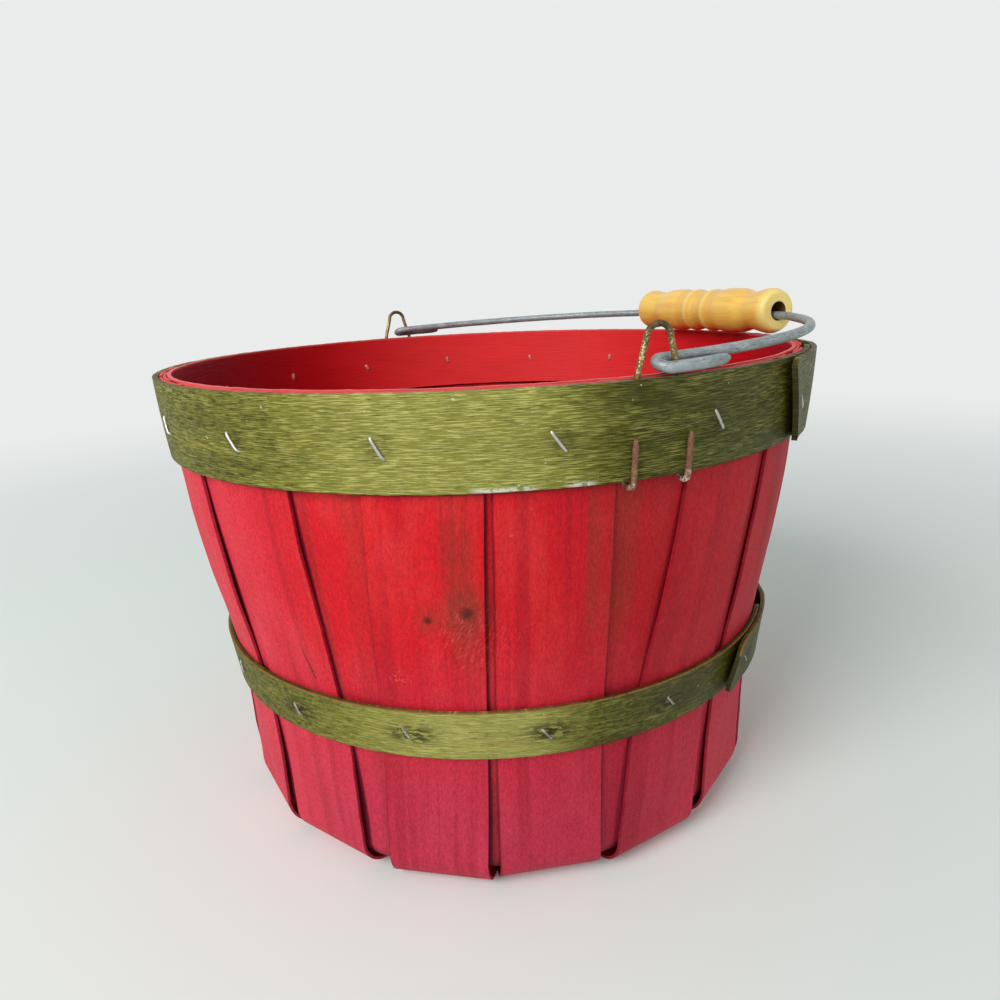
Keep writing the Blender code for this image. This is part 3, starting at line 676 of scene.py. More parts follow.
def staple_tree(veneer, hoop):
    """Wire staples in a ring, each an arch with square shoulders, its crown leaning."""
    floats = ("First", "Height", "Seat", "Start", "Lap", "Ramp", "Lift", "Over ears", "Facing")
    floats += ("Crown", "Depth", "Wire", "Lean", "Lean play")
    graph, given = modifier_graph("Staple ring", ints=("Count", "Seed"), floats=floats)
    line = graph.node("GeometryNodeCurvePrimitiveLine")
    arch = graph.node("GeometryNodeResampleCurve", inputs={"Curve": line, "Count": STAPLE_STEPS})
    turn = graph.node("GeometryNodeSplineParameter", output="Factor") * math.pi
    sine, cosine = turn.sine().math("MAXIMUM", 0.0), turn.cosine()
    crown = cosine.math("SIGN") * abs(cosine) ** SHOULDER * (given["Crown"] - given["Wire"]) / 2
    arch = moved(graph, arch, graph.vector(crown, (sine**0.5 - 1) * given["Depth"], sine * STAPLE_BOW))
    circle = {"Resolution": 10, "Radius": given["Wire"] / 2}
    sweep = {"Curve": arch, "Profile Curve": graph.node("GeometryNodeCurvePrimitiveCircle", inputs=circle)}
    staple = graph.node("GeometryNodeCurveToMesh", inputs=sweep | {"Fill Caps": True})

    ring = graph.node("GeometryNodeMeshLine", inputs={"Count": given["Count"]})
    index = graph.node("GeometryNodeInputIndex")
    chance = []
    for extra in range(3):
        values = {"ID": index, "Seed": given["Seed"] + extra * 31}
        chance.append(graph.node("FunctionNodeRandomValue", {"data_type": "FLOAT"}, values, 1) - 0.5)
    heading = given["First"] + index * PITCH + chance[2] * 2 * TURN_PLAY
    height = given["Height"] + chance[0] * 2 * HEIGHT_PLAY
    lift = hoop_lift(given, (heading - given["Start"]).math("FLOORED_MODULO", math.tau))
    out = wall_radius(veneer, height) + given["Seat"] + lift + ear_bulge(hoop, heading) * given["Over ears"]
    lean = given["Lean"] + chance[1] * given["Lean play"] * 2 + QUARTER
    copies = {
        "Points": moved(graph, ring, on_ring(graph, heading, out, height)),
        "Instance": staple,
        "Rotation": graph.vector(0.0, lean, heading + given["Facing"]),
    }
    return close_graph(graph, graph.node("GeometryNodeInstanceOnPoints", inputs=copies), given["Material"])


KNOTS = ((-26.3, 0.0992, 1.65), (-32.1, 0.0970, 1.0), (63.0, 0.112, 1.3), (151.0, 0.088, 1.6))
CURLED_GRAIN = (-25.5, 0.0905)
SPECKS = (-37.7, 0.0775)
SLITS = (((-56.6, 0.0896), (-54.4, 0.0721)), ((108.0, 0.1000), (109.5, 0.0860)))
SCRATCHES = (
    ((-20.0, 0.1212), (-14.8, 0.1208)),
    ((-17.3, 0.0893), (-16.5, 0.0889)),
    ((-38.6, 0.0768), (-38.0, 0.0772)),
)
BROWN_BANDS = (
    (-27.0, 0.104, 3.4),
    (-8.3, 0.112, 1.7),
    (-3.6, 0.112, 4.0),
    (33.0, 0.10, 3.0),
    (140.0, 0.11, 3.0),
)
# Turn round which the staves' left side is painted with a paler sheen.
SHEEN_SIDE = -92.0
# Turn of the painted light inside the rim band.
LIT_INSIDE = 34.0
CHIPS = ((-25.2, -15.6), (-13.4, -8.2))
FINE_GRAIN = 900


def stained_veneer(scene, name, lining):
    """Red stained veneer: felted fibres along the strip, soft bands, dark cut edges and a few knots; painted
    sheen on the left side, painted shade on the right side and in lines under the hoops, and on the lining
    painted shade in the seams and at the foot.
    """
    veneer, hoops = scene.basket_veneer, scene.basket_hoops
    paint = Paint(name, scene.basket_stain)
    grain, place = paint.grain, paint.place
    tone = paint.attribute("tone", "Fac")
    across, along, depth = paint.attribute("strip").scaled(MM, MM, 1)
    past, short, _ = paint.attribute("bare").parts()
    z = place.parts()[2] * MM
    turn = paint.turn()

    def to_line(start, end):
        """Distance in mm from a line on the wall."""
        start = on_wall(veneer, *start)
        line = on_wall(veneer, *end) - start
        offset = place.vector("SUBTRACT", tuple(start))
        share = offset.vector("DOT_PRODUCT", tuple(line / line.length_squared), output="Value").clamped()
        values = {"Vector": tuple(line), "Scale": share}
        return offset.away(paint.node("ShaderNodeVectorMath", {"operation": "SCALE"}, values))

    flow, dark, wood, pale = 0.0, 0.0, 0.0, 0.0
    for degrees, height, size in KNOTS:
        reach = place.vector("SUBTRACT", tuple(on_wall(veneer, degrees, height)))
        distance = reach.vector("LENGTH", output="Value") * MM
        ray = paint.noise(reach.vector("NORMALIZE"), 2.0, 0.6, scale=6) * 2.4
        flow = distance.step(7 * size, 0) * 1.8 * size + flow
        dark = (distance + ray * size).step(2.9 * size, 1.5 * size) * 0.9 + dark
        wood = distance.step(7 * size, 1.2 * size) * 0.45 + wood
    for ends in SLITS:
        dark = to_line(*ends).step(0.55, 0.12) * 0.8 + dark
    for degrees, height, half in BROWN_BANDS:
        level = abs(z - height * MM).step(34, 12)
        wood = abs(turn - degrees).step(half, half * 0.3) * level * 0.55 + wood

    fibre = across + flow
    felt = grain(fibre * 1.7, along * 0.7, tone * 41, 3.0, 0.62)
    fine = grain(fibre * 3.6 + along * 0.5, along * 1.9, tone * 17, 2.0, 0.6)
    band = grain(fibre * 0.2, along * 0.004, tone * 23, 1.0, 0.5)
    streak = grain(fibre * 0.7, along * 0.010, tone * 67, 2.0, 0.5)
    cloud = grain(across * 0.07, along * 0.03, tone * 11, 3.0, 0.6)
    curl = grain(across * 2.2 - along * 1.1, along * 0.4 + across * 0.2, tone, 2.0, 0.55)
    curled = place.away(on_wall(veneer, *CURLED_GRAIN))
    specks = place.away(on_wall(veneer, *SPECKS))
    for ends in SCRATCHES:
        pale = to_line(*ends).step(0.4, 0.1) * fine.step(0.4, 0.6) + pale

    paint.ground(cloud.step(0.42, 0.66) * 0.5, "red", "warm")
    paint.coat((z.step(104, 14) * 0.9 + (cloud - 0.5) * 0.5).clamped(), "rose")
    # Painted sheen: a paler rose on the left side, which faces the key lamp, with fewer bands there.
    faded = (abs(turn - SHEEN_SIDE).step(50, 16) + (cloud - 0.5) * 0.8).clamped()
    paint.coat(faded * 0.7, "faded")
    paint.coat(band.step(0.5, 0.66) * (0.42 - faded * 0.3), "crimson")
    paint.coat(streak.step(0.54, 0.7) * (0.22 - faded * 0.15), "crimson")
    # Painted shade: crimson darkens the right side, away from the key lamp, less so low down.
    shady = turn.step(-24, 4) * turn.step(75, 55)
    paint.coat(shady * (0.42 - z.step(80, 20) * 0.2), "crimson")
    paint.coat(turn.step(-4, 36) * turn.step(115, 85) * (z.step(90, 15) * 0.45 + 0.3), "faded")
    if lining:
        paint.coat(band.step(0.35, 0.6) * 0.3, "brown")
        # Painted shade, with some pooled stain, in the seams: the lining darkens within about a millimetre of
        # the staves' edges, more widely towards the foot.
        pooled = z.step(70, 6) * 0.5 + 0.8
        under = (past / pooled).step(0.0012, 0.0003) + short.step(0.0005, 0.0001) * 0.5
        paint.coat(clamped(under) * 0.8, "maroon")
        # Painted shade at the lining's foot.
        paint.coat(z.step(12, 6) * 0.6, "maroon")
    inside = depth.step(0.6, 0.9)
    paint.coat(inside * 0.8, "inner")
    paint.coat(inside * streak.step(0.44, 0.62) * 0.35, "brown")
    paint.coat(inside * cloud.step(0.48, 0.68) * 0.3, "warm")
    paint.coat(clamped(wood + (streak - 0.5) * wood), "brown")
    paint.coat(curl.step(0.54, 0.62) * curled.step(15, 7) * 0.24, "edge_pink")
    paint.shade(felt + fine * 0.7 + cloud * 0.25 + 0.025)

    edge = abs(across) + (grain(along * 0.08, tone * 9, across * 0.2) - 0.5) * 0.5
    half = veneer.width / 2 * MM
    paint.coat(edge.step(half - 0.5, half) * 0.5, "maroon")
    paint.coat(clamped(dark), "knot")
    # Painted shadow: a dark line on the staves just under each hoop's lower edge.
    for low in (hoops.top_low, hoops.lower_low):
        paint.coat(abs(z - (low * MM - 0.4)).step(0.9, 0.2) * (felt + 0.1), "maroon")
    rim = veneer.height * MM
    paint.coat(z.step(rim - 1.3, rim - 0.5) * 0.8, "edge_pink")
    patches = paint.noise(place, 1.0, scale=55).step(0.6, 0.7)
    scuff = paint.noise(place, 4.0, 0.7, scale=FINE_GRAIN).step(0.67, 0.74) * patches
    speck = specks.step(5, 0) * paint.noise(place, 3.0, 0.7, scale=FINE_GRAIN).step(0.54, 0.66)
    paint.coat(clamped(pale + scuff * 0.5 + speck), "edge_pink")
    relief = felt * 0.7 + fine * 0.6 + band * 0.5 - clamped(dark) * 0.5
    return paint.finish(0.7 - felt * 0.2, relief, 0.00024, specular=0.15)


def stained_band(stain):
    """The rim band's stain: fibres along the band, its upper edge sanded pink, with painted light on the side
    that faces the key lamp and painted shade on the far side.
    """
    paint = Paint("stained_band", stain)
    along, up, _ = paint.attribute("strip").scaled(MM, MM, 1)
    fibre = paint.grain(along * 0.07, up * 1.7, 3.0, 3.0, 0.6)
    cloud = paint.grain(along * 0.03, up * 0.09, 7.0, 3.0, 0.6)
    x, y, _ = paint.place.parts()
    from_lit = abs(x.math("ARCTAN2", y) * (180 / math.pi) - LIT_INSIDE)
    paint.ground(cloud.step(0.35, 0.7) * 0.5, "inner", "red")
    # Painted light on the back right of the inside, where the key lamp falls, and painted shade on the far
    # side.
    paint.coat(from_lit.step(64, 18) * 0.72, "inner_lit")
    paint.coat(from_lit.step(50, 100) * 0.55, "maroon")
    paint.shade(fibre * 0.3 + cloud * 0.25 + 0.725)
    width = (RIM_BAND[1].z - RIM_BAND[0].z) * MM
    paint.coat(up.step(width - 0.9, width - 0.3) * 0.85, "edge_pink")
    return paint.finish(0.5 - fibre * 0.14, fibre + cloud * 0.5, 0.00012, specular=0.12)


def olive_hoop(stain, name, width, shift, staple_height, wear):
    """Olive stained hoop: fine fibres round it, pale where the stain took thinly, dark beside the staples,
    with a painted sheen on the front and painted shade on the right and on the outer end's face.

    Wear goes from 0, even and crisp as on the top hoop, to 1, blotched as on the lower one.
    """
    paint = Paint(name, stain)
    grain = paint.grain
    tone = paint.attribute("tone", "Fac")
    along, up, depth = paint.attribute("strip").scaled(MM, MM, 1)
    turn = paint.turn()

    line = up + (grain(along * 0.02, up * 0.04, tone) - 0.5) * 1.6
    fibre = grain(along * 0.15, line * 3.2, tone * 5, 4.0, 0.65)
    pale = grain(along * 0.18, line * 3.8, tone * 13, 3.0, 0.6)
    broad = grain(along * 0.03, line * 0.14, tone * 3, 3.0, 0.55)
    mottle = grain(along * 0.45, up * 0.8, tone * 31, 4.0, 0.65)
    split = grain(along * 0.20, line * 3.4, tone * 29, 2.0, 0.5)
    # Masks by turn: darker on the left, painted shade on the right, painted sheen on the front.
    left = turn.step(-40, -62) * turn.step(-120, -100)
    shaded_right = turn.step(-20, 2) * turn.step(80, 60)
    painted_sheen = turn.step(-54, -30) * turn.step(-6, -20)

    # Dark fibres and stain, with painted shade on the right and less where the sheen is painted.
    dark_fibres_and_shade = (0.5 - fibre) * (3.0 - wear * 1.4) + (0.5 - broad) + shaded_right * 0.8 + left * 0.36 - painted_sheen * 0.15
    dark_fibres_and_shade = dark_fibres_and_shade + (mottle - 0.5) * (left + wear + 0.4) * 1.8
    paint.ground(clamped(dark_fibres_and_shade + 0.18), "olive", "olive_dark")
    # Pale fibres, with the painted sheen on the front.
    pale_fibres_and_sheen = pale.step(0.50, 0.60) * (broad * 1.2 + painted_sheen * 0.2 - shaded_right * 0.3 - left * 0.25)
    pale_fibres_and_sheen = clamped(pale_fibres_and_sheen) * (1 - wear * 0.4) + painted_sheen * (0.24 + wear * 0.14)
    paint.coat(clamped(pale_fibres_and_sheen), "olive_pale")
    rusty = grain(along * 0.06, up * 0.5, tone * 7, 3.0).step(0.6, 0.75) * pale.step(0.4, 0.6)
    paint.coat(rusty * 0.5, "rust_stain")
    paint.coat(split.step(0.62, 0.72) * mottle.step(0.42, 0.58) * 0.6, "soot")
    paint.coat(paint.noise(paint.place, 2.0, 0.6, scale=520).step(0.74, 0.78) * 0.8, "bare")

    stations = ((turn - math.degrees(shift)) / math.degrees(PITCH)).math("FRACT")
    beside = abs(stations - 0.5) * PITCH * 105
    level = abs(paint.place.parts()[2] * MM - staple_height * MM)
    torn = grain(along * 0.3, up, tone * 3, 3.0, 0.6)
    near = beside.step(5 + 7 * wear, 1.5) * level.step(4.6, 1.0)
    paint.coat(near * torn.step(0.43, 0.51) * (0.4 + wear * 0.5), "soot")

    frayed = grain(along * 0.55, up * 0.8, tone * 19, 3.0, 0.7)
    chipped = 0.0
    for first, last in CHIPS:
        chipped = turn.step(first, first + 2) * turn.step(last, last - 2) + chipped
    lower = (up + frayed * 1.8).step(2.5, 1.5) * frayed.step(0.38, 0.48) * chipped * (1 - wear)
    paint.coat(clamped(lower * 0.95), "bare")
    # Darker along the hoop's lower edge.
    paint.coat(up.step(0.35, 0.0) * 0.5, "soot")
    top = (up + frayed * 0.25).step(width * MM - 0.25, width * MM) * frayed.step(0.3, 0.5)
    paint.coat(top * 0.7, "olive_dark")
    paint.coat(top * depth.step(0.5, 0.2) * 0.7, "edge_tan")
    # Painted shade on the hoop's outer end, which stands off the hoop below it.
    paint.coat(along.step(0.5, 0.1) * 0.75, "soot")
    relief = fibre * 0.8 + pale * 0.4 - split.step(0.62, 0.74) * 0.6 + mottle * 0.3
    return paint.finish(0.58 - fibre * 0.2 + left * 0.1, relief, 0.00026, specular=0.16)


def bright_steel(stain, name, worn, stained=0.0):
    """Staple wire, bright with dull patches, with red stain dried on where it is stained."""
    paint = Paint(name, stain)
    grain = paint.noise(paint.place, 3.0, scale=1400)
    paint.ground(grain.step(0.52, 0.78) * 0.55, "steel", "zinc_dark")
    paint.coat(grain.step(0.3, 0.6) * worn, "worn_steel")
    paint.coat(stained, "edge_pink")
    metallic = 0.8 - worn * 0.5 - stained * 0.4
    return paint.finish(grain * 0.3 + 0.22 + worn * 0.2, grain, 0.00004, metallic)


def aged_brass(rim, stain):
    """The ears' wire: brass with dark tarnish above, painted glints on the legs and rust on the hooks."""
    paint = Paint("ear_wire", stain)
    z = paint.place.parts()[2]
    blot = paint.noise(paint.place, 3.0, 0.6, scale=420)
    fine = paint.noise(paint.place, 3.0, 0.65, scale=2300)
    paint.ground(fine.step(0.35, 0.7), "rust", "brass_dark")
    paint.coat(blot.step(0.5, 0.7) * 0.6, "brass")
    red = paint.colour
    paint.ground(blot.step(0.42, 0.62) * 0.7, "brass", "brass_dark")
    crown = z.step(rim + 0.0095, rim + 0.012)
    paint.coat(crown * 0.55, "brass_dark")
    # Painted glints: bright flecks on the legs above the rim, below the crown.
    painted_glints = fine.step(0.54, 0.62) * z.step(rim - 0.001, rim + 0.002) * (1 - crown)
    paint.coat(painted_glints * 0.7, "brass_bright")
    rusty = z.step(rim - 0.004, rim - 0.010)
    paint.colour = paint.mix(rusty, paint.colour, red)
    tip = (fine + blot).step(0.98, 1.12) * z.step(rim - 0.0235, rim - 0.0258)
    paint.coat(tip * 0.9, "bare")
    return paint.finish(0.6 - painted_glints * 0.3, fine + blot, 0.0001, 0.7 - rusty * 0.6)


def galvanised(stain):
    """The bail's zinc coat: blue-grey, with pale bloom, pits, and scrapes and flakes along the wire."""
    paint = Paint("galvanised_wire", stain)
    run = paint.attribute("run", "Fac") * MM
    a, b, c = paint.attribute("side").scaled(1.5, 1.5, 1.5)
    bloom = paint.noise(paint.place, 3.0, 0.6, scale=240)
    fine = paint.noise(paint.place, 3.0, 0.7, scale=1700)
    drawn = paint.grain(a * 3.4 + run * 0.16, b * 3.4, c * 3.4, 3.0, 0.65)
    flake = paint.grain(a * 3 + run * 0.45, b * 3 - 9, c * 3, 3.0, 0.65)
    paint.ground(bloom.step(0.4, 0.66) * 0.3, "zinc", "zinc_pale")
    paint.coat(drawn.step(0.55, 0.63) * 0.7, "zinc_pale")
    paint.coat(fine.step(0.6, 0.7) * 0.45, "zinc_dark")
    paint.coat(flake.step(0.59, 0.66) * 0.75, "zinc_dark")
    relief = fine * 0.6 + bloom - flake.step(0.6, 0.68) * 0.5
    return paint.finish(0.56 - bloom * 0.15, relief, 0.00009, 0.3)


def turned_wood(grip, stain):
    """The grip's wood under a clear finish, with faint fibres along its axis and paler ends, a painted
    highlight on the beads' crests and painted shade in the dips and the groove.
    """
    paint = Paint("turned_wood", stain)
    x, y, z = paint.place.vector("SUBTRACT", tuple(GRIP_CENTRE)).scaled(MM, MM, MM)
    half = MM / 2
    axis = (x * x + z * z).math("SQRT")
    rings = paint.grain(x * 0.42, y * 0.02, z * 0.42, 2.0, 0.5, 0.4)
    fibre = paint.grain(x * 4, y * 0.35, z * 4, 3.0, 0.6)
    paint.ground(rings.step(0.36, 0.68) * 0.6, "grip", "grip_dark")
    paint.shade(fibre * 0.12 + 0.94)
    # Painted highlight: paler crests on the two beads beside the middle groove.
    crest = axis.step(grip.bead * half - 0.3, grip.bead * half) * abs(y).step(9, 7)
    paint.coat(crest * 0.5, "grip_end")
    # Painted shade: darker in the dips and the middle groove.
    low = abs(axis - grip.dip * half).step(0.4, 0.1) + axis.step(grip.groove * half + 0.5, grip.groove * half)
    paint.coat(clamped(low) * abs(y).step(16, 12) * 0.4, "grip_dark")
    face = abs(y).step(grip.length * half - grip.end_round * 1.1 * MM, grip.length * half - 0.6)
    paint.coat(face * 0.8, "grip_end")
    paint.coat(axis.step(grip.bore * half + 0.25, grip.bore * half - 0.05), "bore")
    return paint.finish(0.4 - fibre * 0.1 + face * 0.12, fibre + rings, 0.00003, coat=0.2)


def within_half_turn(turn):
    """The same direction as an angle between half a turn back and half a turn on."""
    return (turn + math.pi) % math.tau - math.pi


def strip_heading(node):
    """Direction in which a strip crosses the base, from 0 to pi, read from its solid."""
    flat = [v.co for v in frame["nodes"][node].data.vertices if v.co.z < BASE_LEVEL]
    lengthwise = sum((complex(-point.y, point.x) ** 2 for point in flat), 0j)
    heading = math.atan2(lengthwise.imag, lengthwise.real) / 2
    return heading % math.pi if heading < -PITCH / 4 else heading


def strip_ends(node):
    """The headings of a strip's two ends, each with how far aside it stands at the rim of its solid."""
    mesh = frame["nodes"][node].data
    top = max(v.co.z for v in mesh.vertices) - RIM_SLICE
    ends = []
    for heading in (strip_heading(node), strip_heading(node) + math.pi):
        rim = [v.co for v in mesh.vertices if v.co.z > top and v.co.dot(outward(heading)) > 0]
        middle = sum(rim, Vector()) / len(rim)
        ends.append((heading, within_half_turn(math.atan2(middle.x, -middle.y) - heading)))
    return ends


def beside(ends, heading):
    """The ends just before and just after a heading: how far off each is, and its lean."""
    offs = sorted((within_half_turn(turn - heading), lean) for turn, lean in ends)
    before = max(end for end in offs if end[0] < 0)
    after = min(end for end in offs if end[0] > 0)
    return (*before, 0.0), (*after, 0.0)


def ride_as(piece, body, slot, *nodes):
    """Fixes a finished piece to its body and hides any nodes that it stands for; its slot is not used."""
    if nodes:
        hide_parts(*nodes)
    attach(piece, body)


def shares(steps):
    """Even steps from 0 to 1."""
    return [i / steps for i in range(steps + 1)]


def arc_points(points):
    """A smooth line through the points."""
    ends = [points[0] * 2 - points[1], *points, points[-1] * 2 - points[-2]]
    line = []
    for a, b, c, d in zip(ends, ends[1:], ends[2:], ends[3:]):
        for t in shares(CURVE_STEPS)[:-1]:
            squared = (2 * a - 5 * b + 4 * c - d) * t * t
            line.append(0.5 * (2 * b + (c - a) * t + squared + (3 * b - a - 3 * c + d) * t**3))
    return [*line, points[-1]]


def wire_piece(name, points, diameter, material, dents):
    """A round wire along points, its ends eased and its surface a little dented, as a mesh."""
    curve = bpy.data.curves.new(name, "CURVE")
    curve.dimensions = "3D"
    curve.bevel_depth = diameter / 2
    curve.bevel_resolution = 5
    curve.use_fill_caps = True
    spline = curve.splines.new("POLY")
    spline.points.add(len(points) - 1)
    for i, (knot, point) in enumerate(zip(spline.points, points)):
        knot.co = (*point, 1)
        knot.radius = EASED_ENDS[min(i, len(points) - 1 - i, 2)]
    drawn = linked(name, curve)
    round_wire = evaluated_mesh(drawn)
    bm = bmesh.new()
    bm.from_mesh(round_wire)
    bpy.data.objects.remove(drawn)
    bpy.data.meshes.remove(round_wire)
    bmesh.ops.remove_doubles(bm, verts=bm.verts, dist=SAME_PLACE)
    bm.normal_update()
    runs, sides = bm.verts.layers.float.new("run"), bm.verts.layers.float_vector.new("side")
    tree = kdtree.KDTree(len(points))
    lengths = [0.0]
    for i, point in enumerate(points):
        tree.insert(point, i)
        lengths.append(lengths[-1] + (points[min(i + 1, len(points) - 1)] - point).length)
    tree.balance()
    for vertex in bm.verts:
        middle, i, _ = tree.find(vertex.co)
        vertex[runs] = lengths[i]
        vertex[sides] = (vertex.co - middle).normalized()
        vertex.co += vertex.normal * (noise.noise(vertex.co * 330) * dents)
    bmesh.ops.recalc_face_normals(bm, faces=bm.faces)
    mesh = mesh_from(name, bm, material)
    mesh.shade_smooth()
    return linked(name, mesh)


class BASKET_OT_strips(bpy.types.Operator):
    """Bend the eight stave strips and the eight lining strips"""

    bl_idname = "basket.strips"
    bl_label = "Bend the strips"

    def execute(self, context):
        scene = context.scene
        tree = strip_tree(scene.basket_veneer, scene.basket_hoops)
        staves = [end for i in range(STRIPS) for end in strip_ends(f"stave_strip_{i + 1}")]
        for inside, kind in enumerate(("stave", "lining")):
            material = stained_veneer(scene, f"stained_{kind}", bool(inside))
            for i in range(STRIPS):
                node = f"{kind}_strip_{i + 1}"
                odd = i % 2
                values = {
                    "Heading": strip_heading(node),
                    "Base level": odd + 2 * inside,
                    "Star level": i // 2 + odd * STRIPS // 2 + STRIPS * inside,
                    "Wall level": inside,
                    "Round foot": float(inside),
                    "Puff": 0.0 if inside else scene.basket_veneer.puff,
                    "Seed": i * 3.7 + (31.3 if inside else 0.4),
                    "Material": material,
                }
                for side, (heading, lean) in zip(("ahead", "behind"), strip_ends(node)):
                    values[f"Lean {side}"] = lean
                    values[f"Before {side}"], values[f"After {side}"] = beside(staves, heading)
                ride_as(grown(f"{kind}_{i + 1}", tree, values, 35), BASKET, f"stained_{kind}", node)
        return {"FINISHED"}


def hoop_values(scene, part):
    """The top or the lower hoop's sizes, as inputs of its tree and of its staples' tree."""
    hoop, wires = scene.basket_hoops, scene.basket_wires
    keys = ("low", "high", "thickness", "lap", "lap_angle", "slant", "tip")
    low, high, thickness, lap, start, slant, tip = [getattr(hoop, f"{part}_{key}") for key in keys]
    middle = wall_radius(scene.basket_veneer, (low + high) / 2)
    return {
        "Low": low,
        "Width": high - low,
        "Thickness": thickness,
        "Seat": hoop.gap,
        "Start": start,
        "End": math.tau + (lap - LAP_SHORT) / middle,
        "Lap": lap / middle,
        "Ramp": hoop.ramp / middle,
        "Lift": thickness + hoop.gap,
        "Tip": tip / middle,
        "Slant": slant,
        "First": PITCH / 2 + getattr(wires, f"{part}_shift"),
        "Height": high - getattr(wires, f"{part}_drop"),
    }


class BASKET_OT_hoops(bpy.types.Operator):
    """Bend the two olive hoops and the rim band"""

    bl_idname = "basket.hoops"
    bl_label = "Bend the hoops"

    def execute(self, context):
        scene = context.scene
        veneer, hoop, stain, wires = (
            scene.basket_veneer, scene.basket_hoops, scene.basket_stain, scene.basket_wires
        )
        tree = hoop_tree(veneer, hoop)
        for wear, part, shift, narrowing, spring, seed in (
            (0.0, "top", wires.top_shift, 0.16, 0.0022, 2.3),
            (1.0, "lower", wires.lower_shift, 0.36, 0.0020, 8.1),
        ):
            values = hoop_values(scene, part)
            sizes = values["Width"], shift, values["Height"]
            values |= {
                "Narrowing": narrowing,
                "Spring": spring,
                "Seed": seed,
                "Over ears": 1.0 - wear,
                "Material": olive_hoop(stain, f"{part}_hoop_stain", *sizes, wear),
            }
            values["Width"] -= (1.0 - wear) * hoop.gap
            ride_as(grown(f"hoop_{part}", tree, values), BASKET, "olive_hoop", f"{part}_hoop")

        butt = BUTT / veneer.rim_radius
        values |= dict.fromkeys(("Lift", "Narrowing", "Slant", "Spring"), 0.0) | {
            "Low": hoop.band_low,
            "Width": veneer.height - hoop.band_low,
            "Thickness": hoop.band_thickness,
            "Seat": -2 * veneer.layer - hoop.band_thickness,
            "Start": hoop.band_butt_angle + butt / 2,
            "End": math.tau - butt,
            "Seed": 5.5,
            "Material": stained_band(stain),
        }
        ride_as(grown("band_inside_rim", tree, values), BASKET, "stained_band", "rim_band")
        return {"FINISHED"}


class BASKET_OT_staples(bpy.types.Operator):
    """Drive the staples round both hoops and clinch the upper ones inside the rim"""

    bl_idname = "basket.staples"
    bl_label = "Drive the staples"

    def execute(self, context):
        scene = context.scene
        veneer, hoop, wires = scene.basket_veneer, scene.basket_hoops, scene.basket_wires
        wire = wires.staple_wire
        tree = staple_tree(veneer, hoop)
        top = {
            "Seat": hoop.gap + hoop.top_thickness + wire * 0.3,
            "Over ears": 1.0,
            "Crown": wires.top_crown,
            "Material": bright_steel(scene.basket_stain, "staple_steel", 0.0),
            "Seed": 4,
        }
        points = {
            "Seat": -2 * veneer.layer - hoop.band_thickness + wire * 0.05,
            "Lift": 0.0,
            "Facing": 0.0,
            "Crown": 0.0034,
            "Depth": 0.0009,
            "Wire": wire * 1.7,
            "Lean play": 0.8,
            "Material": bright_steel(scene.basket_stain, "clinched_steel", 0.8, 0.5),
            "Seed": 9,
        }
        lower = {
            "Seat": hoop.gap + hoop.lower_thickness + wire * 0.15,
            "Crown": wires.lower_crown,
            "Wire": wire * 0.82,
            "Material": bright_steel(scene.basket_stain, "worn_staple_steel", 0.75),
            "Seed": 6,
        }
        usual = {"Count": STATIONS, "Over ears": 0.0, "Facing": math.pi, "Depth": 0.0013, "Wire": wire}
        usual |= {"Lean": wires.staple_lean, "Lean play": 0.08}
        for name, part, own in (("staples_top", "top", top), ("staple_points", "top", points),
                                ("staples_lower", "lower", lower)):
            piece = grown(name, tree, hoop_values(scene, part) | usual | own)
            held = [] if own is points else [f"{part}_staple_{i + 1:02d}" for i in range(STATIONS)]
            ride_as(piece, BASKET, "staple_steel", *held)
        return {"FINISHED"}


def ear_route(veneer, hoop, wires):
    """One ear's wire from hook to hook as (sideways, outwards, up), its arch over the rim."""
    half_wire = wires.ear_wire / 2
    arch, rim, hook = wires.ear_arch / 2, wires.ear_rim / 2, wires.ear_hook / 2
    shoulder = veneer.height + wires.ear_rise - half_wire - arch
    foot = hoop.top_low
    half_way = (veneer.height + foot) / 2

    def behind(height):
        return wall_radius(veneer, height) - veneer.layer + hoop.gap + half_wire

    def front(height):
        return wall_radius(veneer, height) + 2 * hoop.gap + hoop.bulge + hoop.top_thickness + half_wire

    back = behind(veneer.height)
    half = []
    for share in shares(5):
        turn = QUARTER * share
        half.append((arch * math.sin(turn), back, shoulder + arch * math.cos(turn)))
    half.append(((arch + rim) / 2, back, (shoulder + veneer.height) / 2))
    half.append((rim, back, veneer.height))
    half.append(((rim + hook) / 2, behind(half_way), half_way))
    half.append((hook, behind(foot), foot))
    bend = (front(foot) - behind(foot)) / 2
    for share in shares(6)[1:-1]:
        turn = math.pi * share
        half.append((hook, behind(foot) + bend - bend * math.cos(turn), foot - bend * math.sin(turn)))
    for share in shares(2):
        height = foot + wires.ear_clip * share
        half.append((hook, front(height), height))
    return [Vector((-side, out, up)) for side, out, up in reversed(half[1:])] + [Vector(p) for p in half]


class BASKET_OT_ears(bpy.types.Operator):
    """Hook the two wire ears round the top hoop"""

    bl_idname = "basket.ears"
    bl_label = "Hook on the ears"

    def execute(self, context):
        scene = context.scene
        wires = scene.basket_wires
        material = aged_brass(scene.basket_veneer.height, scene.basket_stain)
        route = arc_points(ear_route(scene.basket_veneer, scene.basket_hoops, wires))
        for side, heading in (("front", 0.0), ("rear", math.pi)):
            points = [outward(heading + aside / out) * out + Vector((0, 0, up)) for aside, out, up in route]
            piece = wire_piece(f"ear_at_{side}", points, wires.ear_wire, material, 0.00006)
            ride_as(piece, BASKET, "ear_wire", f"{side}_ear")
        return {"FINISHED"}


